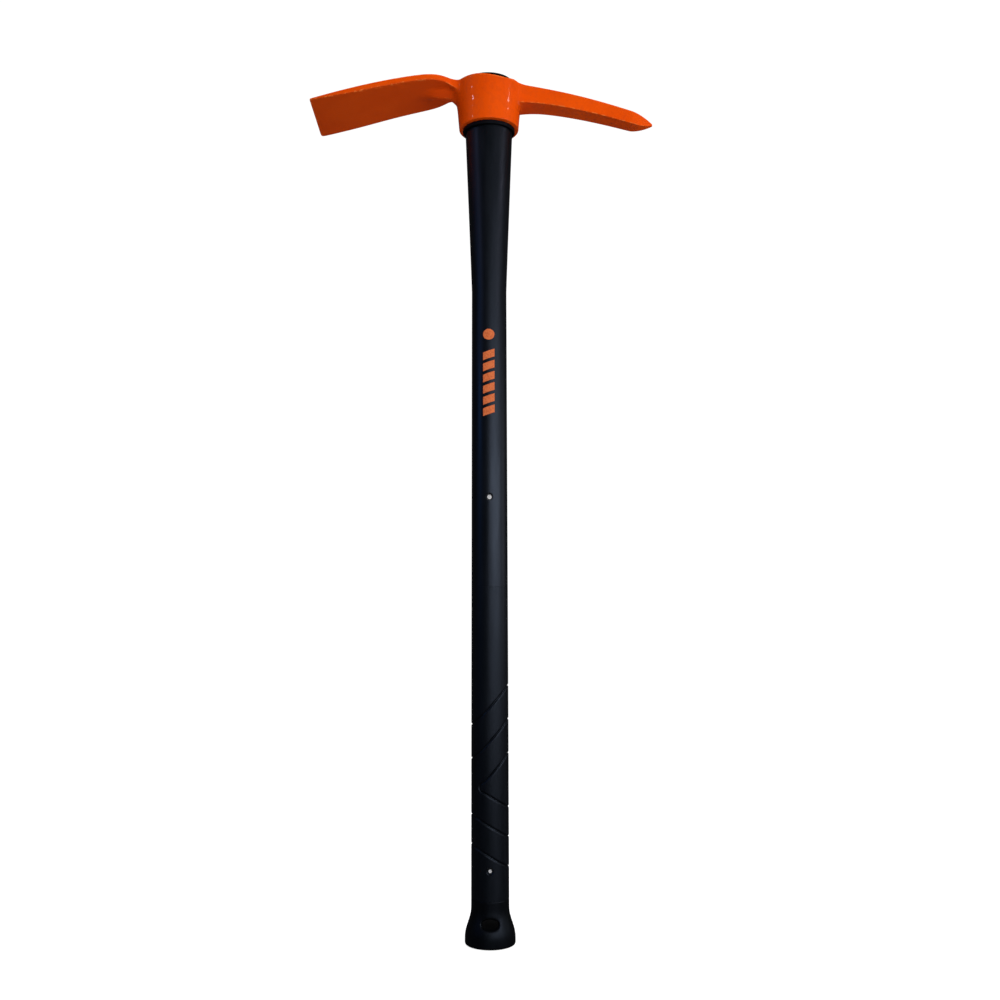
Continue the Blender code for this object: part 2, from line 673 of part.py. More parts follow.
def make_knob(group, cutters, finish):
    knob = turned("butt_knob", knob_profile(), group, finish)
    bm = bmesh.new()
    bmesh.ops.create_cone(bm, cap_ends=True, segments=32, radius1=1, radius2=1,
                          depth=KNOB_RADIUS * 4)
    for vert in bm.verts:
        vert.co = (vert.co.x * HANG_HOLE_HALF_X, vert.co.z, vert.co.y * HANG_HOLE_HALF_Z)
    hole = add_object("hang_hole", mesh_from(bm, "hang_hole"), cutters)
    hole.location.z = HANG_HOLE_Z
    cut(knob, hole)
    return knob


def main():
    clear_scene()
    parts = collection("pick_mattock")
    cutters = collection("cutters")
    enamel = material("orange_enamel", (0.80, 0.10, 0.006), 0.32)
    fibreglass = material("fibreglass", (0.78, 0.76, 0.66), 0.45)
    jacket_plastic = material("jacket_plastic", (0.012, 0.014, 0.019), 0.45)
    seal_rubber = material("seal_rubber", (0.018, 0.020, 0.022), 0.55)
    resin = material("epoxy_resin", (0.020, 0.018, 0.016), 0.25)
    crown_plastic = material("crown_plastic", (0.011, 0.011, 0.013), 0.40)
    grip_rubber = material("grip_rubber", (0.011, 0.012, 0.015), 0.58)
    knob_plastic = material("knob_plastic", (0.012, 0.013, 0.016), 0.50)

    make_head(parts, enamel)
    make_core(parts, fibreglass)
    make_jacket(parts, cutters, jacket_plastic)
    make_seal_ring(parts, seal_rubber)
    make_bond(parts, resin)
    make_crown(parts, crown_plastic)
    make_grip(parts, cutters, grip_rubber)
    make_knob(parts, cutters, knob_plastic)


main()
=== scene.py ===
# %% [markdown]
# # A pick mattock, piece by piece
#
# A mattock is a digging tool with two arms on one forged head: a wide adze blade
# and a square pick that ends in a point. The head sits on a fibreglass rod, and the
# rod wears a moulded plastic jacket, a rubber grip and a flared end knob.
#
# The CAD model is loaded first as a fixed frame. Each outer piece is then built
# again with more detail in the same place, so nothing has to be fitted afterwards.
# Lengths in the pieces are written in millimetres, because that is how a maker
# reads a drawing, and each mesh is scaled to metres once, at its end.

# %% Load the CAD frame
import math

import bmesh
import bpy
from mathutils import Matrix, Vector, kdtree


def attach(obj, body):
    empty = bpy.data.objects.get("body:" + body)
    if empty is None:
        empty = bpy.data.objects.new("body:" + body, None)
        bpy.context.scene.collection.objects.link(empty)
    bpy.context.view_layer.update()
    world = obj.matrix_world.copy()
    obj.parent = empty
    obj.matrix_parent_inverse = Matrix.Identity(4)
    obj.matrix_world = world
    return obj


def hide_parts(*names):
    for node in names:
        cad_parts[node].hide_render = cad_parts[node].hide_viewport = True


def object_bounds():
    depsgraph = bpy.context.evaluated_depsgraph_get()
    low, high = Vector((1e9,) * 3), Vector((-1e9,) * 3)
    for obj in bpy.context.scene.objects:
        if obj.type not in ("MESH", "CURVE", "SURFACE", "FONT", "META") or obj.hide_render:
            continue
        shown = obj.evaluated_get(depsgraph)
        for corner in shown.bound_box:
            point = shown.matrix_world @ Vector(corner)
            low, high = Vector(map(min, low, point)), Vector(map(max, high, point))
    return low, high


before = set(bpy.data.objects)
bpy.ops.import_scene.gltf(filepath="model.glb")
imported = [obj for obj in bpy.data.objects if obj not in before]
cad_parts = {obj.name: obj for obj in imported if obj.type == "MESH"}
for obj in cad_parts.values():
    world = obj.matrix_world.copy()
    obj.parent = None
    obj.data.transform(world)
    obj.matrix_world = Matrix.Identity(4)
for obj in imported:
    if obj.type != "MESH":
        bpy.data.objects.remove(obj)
cad_box = [list(corner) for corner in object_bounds()]
print("CAD box in metres:", [[round(value, 4) for value in corner] for corner in cad_box])

# %% [markdown]
# ## Small helpers
#
# Every piece ends the same way: its doubles are merged, its faces are turned
# outwards, and it is scaled to metres. Doing that in one function keeps each piece's
# own cell about its shape. The colour helper turns a hex code, as a picture editor
# shows it, into the linear values that a renderer works with.

# %% Helpers for meshes and colours
MM = 0.001


def linear(code):
    """The linear colour of an sRGB hex code such as #E8530F."""
    channels = [int(code[start:start + 2], 16) / 255 for start in (1, 3, 5)]
    return tuple(c / 12.92 if c <= 0.04045 else ((c + 0.055) / 1.055) ** 2.4
                 for c in channels) + (1.0,)


def add_object(name, data):
    """A new object in the scene that shows the data."""
    obj = bpy.data.objects.new(name, data)
    bpy.context.scene.collection.objects.link(obj)
    return obj


def make_object(bm, name):
    """Turns a bmesh in millimetres into an object in metres, at the origin."""
    bmesh.ops.remove_doubles(bm, verts=bm.verts, dist=0.001)
    bmesh.ops.recalc_face_normals(bm, faces=bm.faces)
    bmesh.ops.scale(bm, vec=(MM, MM, MM), verts=bm.verts)
    mesh = bpy.data.meshes.new(name)
    bm.to_mesh(mesh)
    bm.free()
    return add_object(name, mesh)


def spin_outline(bm, outline, steps):
    """Spins an outline of (radius, height) corners round the Z axis."""
    verts = [bm.verts.new((radius, 0, height)) for radius, height in outline]
    edges = [bm.edges.new(pair) for pair in zip(verts, verts[1:])]
    bmesh.ops.spin(bm, geom=verts + edges, cent=(0, 0, 0), axis=(0, 0, 1), angle=2 * math.pi,
                   steps=steps, use_merge=True)


def subdivide(obj, levels):
    """Rounds a cage with a Subdivision Surface, as fine in the view as in the render."""
    smooth = obj.modifiers.new("rounded", "SUBSURF")
    smooth.levels = levels
    smooth.render_levels = levels


def settle(obj, sharp_degrees=40):
    """Applies the modifiers, then shades the mesh smooth but for its sharp edges."""
    graph = bpy.context.evaluated_depsgraph_get()
    obj.data = bpy.data.meshes.new_from_object(obj.evaluated_get(graph))
    obj.modifiers.clear()
    obj.data.shade_smooth()
    obj.data.set_sharp_from_angle(angle=math.radians(sharp_degrees))


def volume_cm3(obj):
    """The volume inside a closed piece, from its mesh in metres."""
    bm = bmesh.new()
    bm.from_mesh(obj.data)
    volume = bm.calc_volume(signed=True)
    bm.free()
    return volume * 1e6


def place(obj, node, finish):
    """The finished piece stands for a CAD node, and rides on the tool's one body."""
    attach(obj, "root")
    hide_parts(node)
    obj.data.materials.clear()
    obj.data.materials.append(finish)
    triangles = sum(len(face.vertices) - 2 for face in obj.data.polygons)
    print(f"{obj.name}: {triangles} triangles, {volume_cm3(obj):.1f} cm3")


# %% [markdown]
# ## Camera
#
# The picture is taken from in front of the tool and below its middle, with the
# camera tipped up by nine degrees. That is why the underside of the blade and
# the lower rim of the eye show. The lens is a little wide, and the tool leans by a
# tenth of a degree in the frame, which the camera's roll repeats.

# %% Set up the camera
CAMERA_PLACE = (0.0, -0.9875, -0.5778)
CAMERA_TIP = math.radians(9.2246)
CAMERA_ROLL = math.radians(-0.1)
CAMERA_LENS = 34.43
CAMERA_SHIFT = 0.0105

camera_data = bpy.data.cameras.new("camera")
camera_data.sensor_width = 36.0
camera_data.lens = CAMERA_LENS
camera_data.shift_x = CAMERA_SHIFT
camera = add_object("camera", camera_data)
tipped = Matrix.Rotation(math.pi / 2 + CAMERA_TIP, 4, "X") @ Matrix.Rotation(CAMERA_ROLL, 4, "Z")
camera.matrix_world = Matrix.Translation(CAMERA_PLACE) @ tipped
bpy.context.scene.camera = camera
bpy.context.scene.view_settings.view_transform = "Standard"
print("camera tipped up by", round(math.degrees(CAMERA_TIP), 2), "degrees")

# %% [markdown]
# ## Helpers for shader nodes
#
# A node needs three things: its settings, the values of its free inputs, and the
# links into the others. One function takes all three. The patterns that come back in
# every finish, such as soft noise, two tones and a bump, are short functions on top
# of it, so a material reads as a recipe from the pattern to the surface.

# %% Helpers for shader nodes
def add(tree, kind, settings=(), values=(), links=()):
    """Adds a node. Settings are properties, values and links are keyed by input."""
    node = tree.nodes.new("ShaderNode" + kind)
    for name, value in dict(settings).items():
        setattr(node, name, value)
    for name, value in dict(values).items():
        node.inputs[name].default_value = value
    for name, source in dict(links).items():
        tree.links.new(source, node.inputs[name])
    return node


def new_material(name, roughness, specular, coat_roughness=0.1):
    """A material with one Principled surface, whose constants sit on its own sockets."""
    made = bpy.data.materials.new(name)
    made.use_nodes = True
    tree = made.node_tree
    surface = tree.nodes["Principled BSDF"]
    surface.inputs["Roughness"].default_value = roughness
    surface.inputs["Specular IOR Level"].default_value = specular
    surface.inputs["Coat Roughness"].default_value = coat_roughness
    coords = tree.nodes.new("ShaderNodeTexCoord").outputs["Object"]
    return made, tree, surface, coords


def noise(tree, coords, size, detail):
    """A soft random pattern around 0.5, whose spots are about size metres wide."""
    node = add(tree, "TexNoise", values={"Scale": 1 / size, "Detail": detail}, links={"Vector": coords})
    return node.outputs["Fac"]


def between(tree, source, start, end, low=0.0, high=1.0):
    """Goes from low to high while the source goes from start to end."""
    node = add(tree, "MapRange", values={1: start, 2: end, 3: low, 4: high}, links={0: source})
    return node.outputs[0]


def times(tree, first, second):
    """The product of two values, such as two masks."""
    return add(tree, "Math", {"operation": "MULTIPLY"}, links={0: first, 1: second}).outputs[0]


def two_tones(tree, pattern, dark, light, start, end):
    """A colour that goes from dark to light while the pattern goes from start to end."""
    ramp = add(tree, "ValToRGB", links={"Fac": pattern})
    for stop, position, code in zip(ramp.color_ramp.elements, (start, end), (dark, light)):
        stop.position = position
        stop.color = linear(code)
    return ramp.outputs["Color"]


def tinted(tree, share, base, code, blend="MIX"):
    """The base colour with a share of a second colour laid over it."""
    node = add(tree, "Mix", {"data_type": "RGBA", "blend_type": blend}, {7: linear(code)},
               {0: share, 6: base})
    return node.outputs[2]


def bumped(tree, pattern, depth, under=None):
    """A relief of the given depth, laid over another relief where there is one."""
    links = {"Height": pattern}
    if under is not None:
        links["Normal"] = under
    return add(tree, "Bump", values={"Strength": 1.0, "Distance": depth}, links=links).outputs[0]


# %% [markdown]
# ## Floor and backdrop
#
# The tool is shown on plain white. The floor is a pale disc just under the butt, and
# Light Path turns it and the world white for the camera, so that no extra light is
# needed on the tool. The backdrop is a little brighter than white, which keeps the
# render's own noise out of it.

# %% Floor and white background
WHITE = linear("#FFFFFF")
FLOOR_RADIUS = 1400.0
FLOOR_DROP = 0.4
FLOOR_WHITE = 0.9
MIRRORED_LIGHT = 0.03

bm = bmesh.new()
bmesh.ops.create_circle(bm, cap_ends=True, segments=96, radius=FLOOR_RADIUS)
floor_z = cad_box[0][2] / MM - FLOOR_DROP
bmesh.ops.translate(bm, vec=(0, 0, floor_z), verts=bm.verts)
floor = make_object(bm, "floor")

paper = bpy.data.materials.new("white_paper_floor")
paper.use_nodes = True
tree = paper.node_tree
tree.nodes.clear()
matte = add(tree, "BsdfDiffuse", values={"Color": linear("#D1D1D1")})
white = add(tree, "Emission", values={"Color": WHITE, "Strength": FLOOR_WHITE})
lit = add(tree, "AddShader", links={0: matte.outputs[0], 1: white.outputs[0]})
path = add(tree, "LightPath")
# Nothing on the tool is bare metal or glass. Enamel and rubber turn milky over a white floor,
# so a glossy ray sees only a share of it, here and in the world
faint = add(tree, "Emission", values={"Color": WHITE, "Strength": MIRRORED_LIGHT})
unseen = add(tree, "MixShader", links={0: path.outputs["Is Glossy Ray"], 1: matte.outputs[0],
                                       2: faint.outputs[0]})
shown = add(tree, "MixShader", links={0: path.outputs["Is Camera Ray"], 1: unseen.outputs[0],
                                      2: lit.outputs[0]})
add(tree, "OutputMaterial", links={"Surface": shown.outputs[0]})
floor.data.materials.append(paper)

# %% World
WORLD_LIGHT = 0.205
BACKDROP_LIGHT = 1.04

world = bpy.data.worlds.new("white_studio")
bpy.context.scene.world = world
world.use_nodes = True
tree = world.node_tree
tree.nodes.clear()
path = add(tree, "LightPath")
dim = add(tree, "Background", values={"Color": linear("#F4F6FF"), "Strength": WORLD_LIGHT})
mirrored = add(tree, "Background", values={"Color": WHITE, "Strength": MIRRORED_LIGHT})
bright = add(tree, "Background", values={"Color": WHITE, "Strength": BACKDROP_LIGHT})
# A glossy ray sees a share of the backdrop, and a camera or transmission ray all of it
inside = add(tree, "MixShader", links={0: path.outputs["Is Glossy Ray"], 1: dim.outputs[0],
                                       2: mirrored.outputs[0]})
seen = add(tree, "Math", {"operation": "MAXIMUM"}, links={
    0: path.outputs["Is Camera Ray"], 1: path.outputs["Is Transmission Ray"]})
studio = add(tree, "MixShader", links={0: seen.outputs[0], 1: inside.outputs[0], 2: bright.outputs[0]})
add(tree, "OutputWorld", links={"Surface": studio.outputs[0]})

# %% [markdown]
# ## Lamps
#
# A wide, low softbox in front and to the right draws the soft highlight down the
# handle, and a weak one at the side fills the dark flank. The softbox in front and
# above lights the orange head. It isn't mirrored, because its image would grey the
# black neck. A thin blue strip from the left draws the blue line on the shaft, and two
# small glint lamps are what the wet drops on the collar reflect.

# %% Softboxes
AIM = Vector((0.0, 0.0, -0.36))


def softbox(name, azimuth, elevation, distance, width, height, light, colour, mirrored=True):
    """A lamp panel aimed at the tool. Azimuth is counted from the front to the right, both
    angles are in degrees, and light is the share of full exposure that the lamp gives."""
    data = bpy.data.lights.new(name, "AREA")
    data.shape = "RECTANGLE"
    data.size = width
    data.size_y = height
    data.color = linear(colour)[:3]
    data.energy = light * math.pi ** 2 * distance ** 2
    lamp = add_object(name, data)
    turn, lift = math.radians(azimuth), math.radians(elevation)
    away = Vector((math.sin(turn) * math.cos(lift), -math.cos(turn) * math.cos(lift), math.sin(lift)))
    lamp.location = AIM + away * distance
    lamp.rotation_euler = (-away).to_track_quat("-Z", "Y").to_euler()
    lamp.visible_glossy = mirrored
    print(name, round(data.energy, 1), "W")


softbox("right_softbox", 34, 8, 1.6, 2.2, 0.56, 0.53, "#FFFCF8")
softbox("side_softbox", 92, 6, 1.6, 1.0, 0.56, 0.06, "#FFFCF8")
softbox("front_softbox", 20, 62, 2.2, 1.2, 0.9, 0.48, "#FFFFFF", mirrored=False)
softbox("left_strip", -66, 17, 2.0, 0.10, 0.20, 0.033, "#6FB0FF")
softbox("left_glint", -53, 33, 2.15, 0.08, 0.14, 0.022, "#D9DAFF")
softbox("right_glint", 64, 33.7, 2.16, 0.10, 0.12, 0.032, "#FFF0F4")

# %% [markdown]
# ## Finish of the head: gloss enamel on forged steel
#
# The real head is hammered hot between two dies and dipped or sprayed in enamel. The
# steel keeps a slightly lumpy skin, which the paint rounds over, and a spray coat has
# its own fine orange peel. Both go into the bump, at the real sizes: lumps of about
# 9 mm and peel of about 2 mm. Peel is finer than that on the tool and wouldn't show.
# Along the edges the paint is thin. In the corners a painted shade makes it a little
# darker, and a painted shade deepens the orange towards the cutting edge.
#
# On the collar the enamel has run together into glossy drops, which show as small
# white flecks. They are a clear coat that lies only where a coarse noise is high, with
# waves of its own that break up the image of the lamps.

# %% Orange enamel
LUMP = 9 * MM
LUMP_DEPTH = 0.25 * MM
PEEL = 2 * MM
PEEL_DEPTH = 0.02 * MM
CLOUD = 60 * MM
CHIP = 4 * MM
WAVE = 5 * MM
WAVE_DEPTH = 0.38 * MM
DROP = 6 * MM
COLLAR_EDGE_X = (-44 * MM, -39 * MM)
# Painted shade: the orange is darkened between these two places, towards the cutting edge
BLADE_PAINTED_SHADE_X = (-45 * MM, -190 * MM)

enamel, tree, surface, coords = new_material("orange_enamel_on_forged_steel", 0.42, 0.07,
                                             coat_roughness=0.03)
spot = add(tree, "SeparateXYZ", links={"Vector": coords}).outputs["X"]
pointiness = add(tree, "NewGeometry").outputs["Pointiness"]

# Two near shades of orange in slow clouds, and painted shade deeper towards the cutting edge
paint_and_shade = two_tones(tree, noise(tree, coords, CLOUD, 2.0), "#E34A00", "#EC5203", 0.35, 0.65)
paint_and_shade = tinted(tree, between(tree, spot, *BLADE_PAINTED_SHADE_X), paint_and_shade, "#EDEDED", blend="MULTIPLY")
# Painted shade: a darker line in the corners
paint_and_shade = tinted(tree, between(tree, pointiness, 0.40, 0.49, 0.35, 0.0), paint_and_shade, "#A93A06")
# A paler, ragged line along the edges, where it is thin
ragged = between(tree, noise(tree, coords, CHIP, 3.0), 0.50, 0.58, 0.0, 0.9)
thin = times(tree, between(tree, pointiness, 0.51, 0.54), ragged)
paint_and_shade = tinted(tree, thin, paint_and_shade, "#F4742F")
tree.links.new(paint_and_shade, surface.inputs["Base Color"])

# The lumps of the forging, with the peel of the paint over them
forged = bumped(tree, noise(tree, coords, LUMP, 2.0), LUMP_DEPTH)
painted = bumped(tree, noise(tree, coords, PEEL, 1.0), PEEL_DEPTH, under=forged)
tree.links.new(painted, surface.inputs["Normal"])

# Glossy drops on the collar, which catch the lamps as small flecks
wavy = bumped(tree, noise(tree, coords, WAVE, 1.0), WAVE_DEPTH)
tree.links.new(wavy, surface.inputs["Coat Normal"])
wet = between(tree, noise(tree, coords, DROP, 1.0), 0.54, 0.56)
drops = times(tree, wet, between(tree, spot, *COLLAR_EDGE_X))
tree.links.new(drops, surface.inputs["Coat Weight"])

# %% [markdown]
# ## Finish of the handle: moulded black polypropylene
#
# The jacket is injected round the rod in a steel mould. The mould's skin is finely
# spark-eroded, so the plastic is satin: dark, with wide soft reflections and no sharp
# ones. A few paler rubs from packing run along it. The real grain is a tenth of a
# millimetre, and it is drawn at 1.2 to 1.6 mm, as a pixel covers nearly a millimetre.

# %% Satin plastic, matte rubber and their neighbours
COOL_GLOSS = "#C6DBFF"
STREAK = 7 * MM
STREAK_SCALE = (1.0, 1.0, 0.12)


def moulded(name, dark, light, roughness, specular, grain, depth):
    """A dark moulding: two near shades in soft clouds, streaked along Z, with a fine grain."""
    made, tree, surface, coords = new_material(name, roughness, specular)
    surface.inputs["Specular Tint"].default_value = linear(COOL_GLOSS)
    along = add(tree, "Mapping", values={"Scale": STREAK_SCALE}, links={"Vector": coords})
    streaks = noise(tree, along.outputs[0], STREAK, 3.0)
    tree.links.new(two_tones(tree, streaks, dark, light, 0.3, 0.75), surface.inputs["Base Color"])
    gloss = between(tree, streaks, 0.3, 0.7, roughness - 0.04, roughness + 0.06)
    tree.links.new(gloss, surface.inputs["Roughness"])
    tree.links.new(bumped(tree, noise(tree, coords, grain, 2.0), depth), surface.inputs["Normal"])
    return made


# The jacket gives a soft, cool highlight down the shaft
jacket_plastic = moulded("satin_black_polypropylene", "#030406", "#06070A", 0.40, 0.54,
                         1.2 * MM, 0.02 * MM)
# The grip is a little duller and coarser, so its highlight is wider
grip_rubber = moulded("matte_black_thermoplastic_rubber", "#020305", "#050609", 0.44, 0.54,
                      1.6 * MM, 0.03 * MM)
# The knob is blacker, with one dim patch of light beside its hole
knob_plastic = moulded("satin_black_nylon", "#020203", "#040506", 0.46, 0.32, 1.3 * MM, 0.03 * MM)
# The ring is matte and a shade paler than the neck
seal_rubber = moulded("black_seal_rubber", "#050608", "#08090C", 0.60, 0.22, 1.2 * MM, 0.02 * MM)
# The crown hardly reflects, so it stays a black line over the eye
crown_plastic = moulded("black_crown_plastic", "#010101", "#020202", 0.88, 0.02, 1.4 * MM, 0.03 * MM)

# %% [markdown]
# ## Finish of the rod and the resin
#
# A pultruded rod is glass fibre in polyester: nearly white, with fine fibres that run
# along it. Two discs of it show at the bottom of the locating holes. The resin that
# bonds the head is poured in from above, so its top is a glossy black pool.

# %% Fibreglass and resin
FIBRE = 1.5 * MM
FIBRE_SCALE = (1.0, 1.0, 0.05)
FIBRE_DEPTH = 0.03 * MM
POOL = 5 * MM
POOL_DEPTH = 0.2 * MM

# The rod's ends give two bright dots on the dark handle
rod, tree, surface, coords = new_material("pultruded_fibreglass", 0.36, 1.0)
along = add(tree, "Mapping", values={"Scale": FIBRE_SCALE}, links={"Vector": coords})
fibres = noise(tree, along.outputs[0], FIBRE, 2.0)
tree.links.new(two_tones(tree, fibres, "#E6E8EC", "#FCFDFF", 0.3, 0.7), surface.inputs["Base Color"])
tree.links.new(bumped(tree, fibres, FIBRE_DEPTH), surface.inputs["Normal"])

# The resin is dark and glossy, but hardly seen
resin, tree, surface, coords = new_material("poured_epoxy_resin", 0.18, 0.5)
pool = noise(tree, coords, POOL, 1.0)
tree.links.new(two_tones(tree, pool, "#171513", "#25211D", 0.0, 1.0), surface.inputs["Base Color"])
tree.links.new(bumped(tree, pool, POOL_DEPTH), surface.inputs["Normal"])

for node, finish in (("fibreglass_core", rod), ("epoxy_bond", resin)):
    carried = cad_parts[node]
    carried.data.materials.clear()
    carried.data.materials.append(finish)
    print(node, "keeps its CAD shape")

# %% [markdown]
# ## The head: an oval eye
#
# The head is one forging. Its middle is the eye, an oval collar that is a little
# wider at the top, so that the resin locks the handle in. The collar is a stack of
# rings, joined two at a time with bridge_loops. The rings are a cage for a
# Subdivision Surface, which draws a cage in, so the rings stand slightly further out.

# %% Rings of the eye
EYE_HEIGHT = 50.0
EYE_TOP_SLOPE = 0.067
EYE_RIM_DIP = 3.6
# Middle and spread in degrees, counted from the pick, and the rise in millimetres
EYE_RISES = ((38, 15, 3.0), (108, 18, 0.8))
EYE_OUTER = (32.975, 27.275)
EYE_WALL = 5.4
EYE_DRAFT = 0.085
EYE_TAPER = 0.05
EYE_ROUND = 1.0
EYE_COLUMNS = 32
CAGE_DRAW = (2 + math.cos(2 * math.pi / EYE_COLUMNS)) / 3


def eye_outside(z):
    """The two half widths of the collar at a height."""
    return [half + EYE_DRAFT * z for half in EYE_OUTER]


def eye_inside(z):
    """The two half widths of the bore at a height."""
    return [half - EYE_WALL + EYE_TAPER * z for half in EYE_OUTER]


def eye_top(x):
    """The height of the eye's upper face, which falls a little towards the pick."""
    return EYE_HEIGHT - EYE_TOP_SLOPE * x


def rim_height(turn):
    """How far the rim lies off its plane: low in front and behind, high beside the pick."""
    share = (1 + math.cos(turn)) / 2
    degrees = math.degrees(math.acos(math.cos(turn)))
    swells = sum(rise * math.exp(-((degrees - middle) / spread) ** 2)
                 for middle, spread, rise in EYE_RISES)
    return swells - EYE_RIM_DIP * (share * math.sin(turn)) ** 2


def eye_ring(bm, halves_at, blade_z, pick_z, margin=0.0, rim=False):
    """A ring of the cage, whose height runs from blade_z at -X to pick_z at +X."""
    ring = bmesh.ops.create_circle(bm, segments=EYE_COLUMNS, radius=1)["verts"]
    for number, vert in enumerate(ring):
        turn = (number + 0.5) * 2 * math.pi / EYE_COLUMNS
        share = (1 + math.cos(turn)) / 2
        z = blade_z + (pick_z - blade_z) * share + (rim_height(turn) if rim else 0)
        half_x, half_y = ((half + margin) / CAGE_DRAW for half in halves_at(z))
        vert.co = (half_x * math.cos(turn), half_y * math.sin(turn), z)
    return ring


def ring_edges(ring):
    """The edges of a ring of corners, in order."""
    after = ring[1:] + ring[:1]
    return [next(edge for edge in vert.link_edges if edge.other_vert(vert) == other)
            for vert, other in zip(ring, after)]


def bridge(bm, rings, closed=False):
    """Joins rings two at a time. Each lies flat on its own level meanwhile, because
    bridge_loops can pair two rings in one plane the wrong way round."""
    places = [[vert.co.copy() for vert in ring] for ring in rings]
    for level, ring in enumerate(rings):
        for vert in ring:
            vert.co.z = level
    others = rings[1:] + rings[:1] if closed else rings[1:]
    for lower, upper in zip(rings, others):
        bmesh.ops.bridge_loops(bm, edges=ring_edges(lower) + ring_edges(upper))
    for ring, spots in zip(rings, places):
        for vert, spot in zip(ring, spots):
            vert.co = spot


# %% [markdown]
# ## The head: the adze blade
#
# The smith draws the blade out of the collar: narrow at the neck, then spreading to
# its full width within two finger widths, and thinning to the cutting edge. Here the
# same happens with extrude: two rows of faces of the collar are pulled out through a
# series of sections, and each section is set to the width, the height and the
# thickness that the blade has there. A ridge under the root stiffens the neck.

# %% Sections of the blade
EYE_ROOT = EYE_OUTER[0] + EYE_DRAFT * EYE_HEIGHT
BLADE_REACH = 193.7
BLADE_EDGE_WIDTH = 76.0
BLADE_ROOT_WIDTH = 58.5
BLADE_NECK_WIDTH = 28.2
SHOULDER_LENGTH = 15.0
SHOULDER_CURVE = 1.6
BLADE_THICKNESS = 6.8
BLADE_EDGE_THICKNESS = 1.1
BLADE_BEVEL_LENGTH = 62.0
BLADE_BEVEL_CURVE = 1.8
BLADE_DROP = 36.6
BLADE_CURVE = 1.5
BLADE_SWELL = 0.8
BLADE_FILLET = 4.0
RIB_DEPTH = 8.5
RIB_LENGTH = 38.0
RIB_HALF_WIDTH = 2.2
RIB_BASE_HALF_WIDTH = 8.5
RIB_ROOT_DROP = 10.0
# Shares of the blade's half width at the cutting edge, where the inner columns end
RIDGE_SHARE = 0.2
BASE_SHARE = 0.6
SHOULDER_STATIONS = (0.22, 0.5, 0.85, 1.3, 1.9, 2.8)
BEVEL_STATIONS = (0, 0.35, 0.7, 1)


def blade_section(x):
    """Columns of the blade from -Y to +Y, each as (bottom, top) corners."""
    along = (x - EYE_ROOT) / (BLADE_REACH - EYE_ROOT)
    straight = BLADE_ROOT_WIDTH + (BLADE_EDGE_WIDTH - BLADE_ROOT_WIDTH) * along
    shoulder = math.exp(-((x - EYE_ROOT) / SHOULDER_LENGTH) ** SHOULDER_CURVE)
    half = (straight - (BLADE_ROOT_WIDTH - BLADE_NECK_WIDTH) * shoulder) / 2
    bevel = max(0.0, 1 - (BLADE_REACH - x) / BLADE_BEVEL_LENGTH) ** BLADE_BEVEL_CURVE
    thickness = BLADE_THICKNESS + (BLADE_EDGE_THICKNESS - BLADE_THICKNESS) * bevel
    thickness += BLADE_FILLET * math.exp(-((x - EYE_ROOT) / BLADE_FILLET) ** 2)
    top = eye_top(-EYE_ROOT) + BLADE_SWELL * (1 - along ** 2) - BLADE_DROP * along ** BLADE_CURVE
    bottom = top - thickness
    ridge = RIB_HALF_WIDTH + (half * RIDGE_SHARE - RIB_HALF_WIDTH) * along
    base = RIB_BASE_HALF_WIDTH + (half * BASE_SHARE - RIB_BASE_HALF_WIDTH) * along
    depth = RIB_DEPTH * max(0.0, 1 - ((x - EYE_ROOT) / RIB_LENGTH) ** 2)
    lows = (bottom, bottom, bottom - depth)
    columns = list(zip((-half, -base, -ridge), lows)) + list(zip((ridge, base, half), lows[::-1]))
    return [[(-x, y, low), (-x, y, top)] for y, low in columns]


blade_stations = [EYE_ROOT + SHOULDER_LENGTH * share for share in SHOULDER_STATIONS]
bevel_start = BLADE_REACH - BLADE_BEVEL_LENGTH
blade_stations.append((blade_stations[-1] + bevel_start) / 2)
blade_stations += [bevel_start + BLADE_BEVEL_LENGTH * share for share in BEVEL_STATIONS]
print("the blade has", len(blade_stations), "sections")

# %% [markdown]
# ## The head: the square pick
#
# The pick is a square bar that is drawn down and bent a little, and its last 23 mm
# are ground to a four-sided point. It is pulled out of the collar in the same way as
# the blade, from a patch that is two rows high.

# %% Sections of the pick
PICK_REACH = 182.3
PICK_ROOT_SIZE = (23.2, 19.1)
PICK_END_SIZE = (17.2, 15.1)
PICK_FILLET = 1.6
PICK_FILLET_LENGTH = 15.0
PICK_TOP_FILLET = 0.4
PICK_POINT_LENGTH = 23.0
PICK_SHOULDER_ROUND = 1.2
PICK_TIP = 1.8
PICK_SIDE_ROUND = 1.15
PICK_BACK_ROUND = 2.0
PICK_DROP = 26.9
PICK_POINT_DROP = 5.1
PICK_CURVE = 1.48
PICK_BODY_STEPS = 4
ROOT_STATIONS = (0.25, 0.75, 1.6)
POINT_STATIONS = (0.35, 0.65, 0.88, 1)
ACROSS_PICK = (-0.5, -0.3, -0.1, 0.1, 0.3, 0.5)
pick_neck = PICK_REACH - PICK_POINT_LENGTH


def pick_section(x):
    """Columns of the pick from -Y to +Y, each as (bottom, middle, top) corners."""
    along = min(1.0, (x - EYE_ROOT) / (pick_neck - EYE_ROOT))
    point = max(0.0, (x - pick_neck) / PICK_POINT_LENGTH)
    growth = PICK_FILLET * math.exp(-((x - EYE_ROOT) / PICK_FILLET_LENGTH) ** 2)
    width, height = (root + (end - root) * along for root, end in zip(PICK_ROOT_SIZE, PICK_END_SIZE))
    width += growth
    width += (PICK_TIP - width) * point ** PICK_SIDE_ROUND
    height += (PICK_TIP - height) * point ** PICK_BACK_ROUND
    centre = eye_top(EYE_ROOT) - PICK_ROOT_SIZE[1] / 2
    centre -= PICK_DROP * along ** PICK_CURVE + PICK_POINT_DROP * point
    low, high = centre - height / 2 - growth, centre + height / 2 + growth * PICK_TOP_FILLET
    return [[(x, width * share, z) for z in (low, (low + high) / 2, high)]
            for share in ACROSS_PICK]


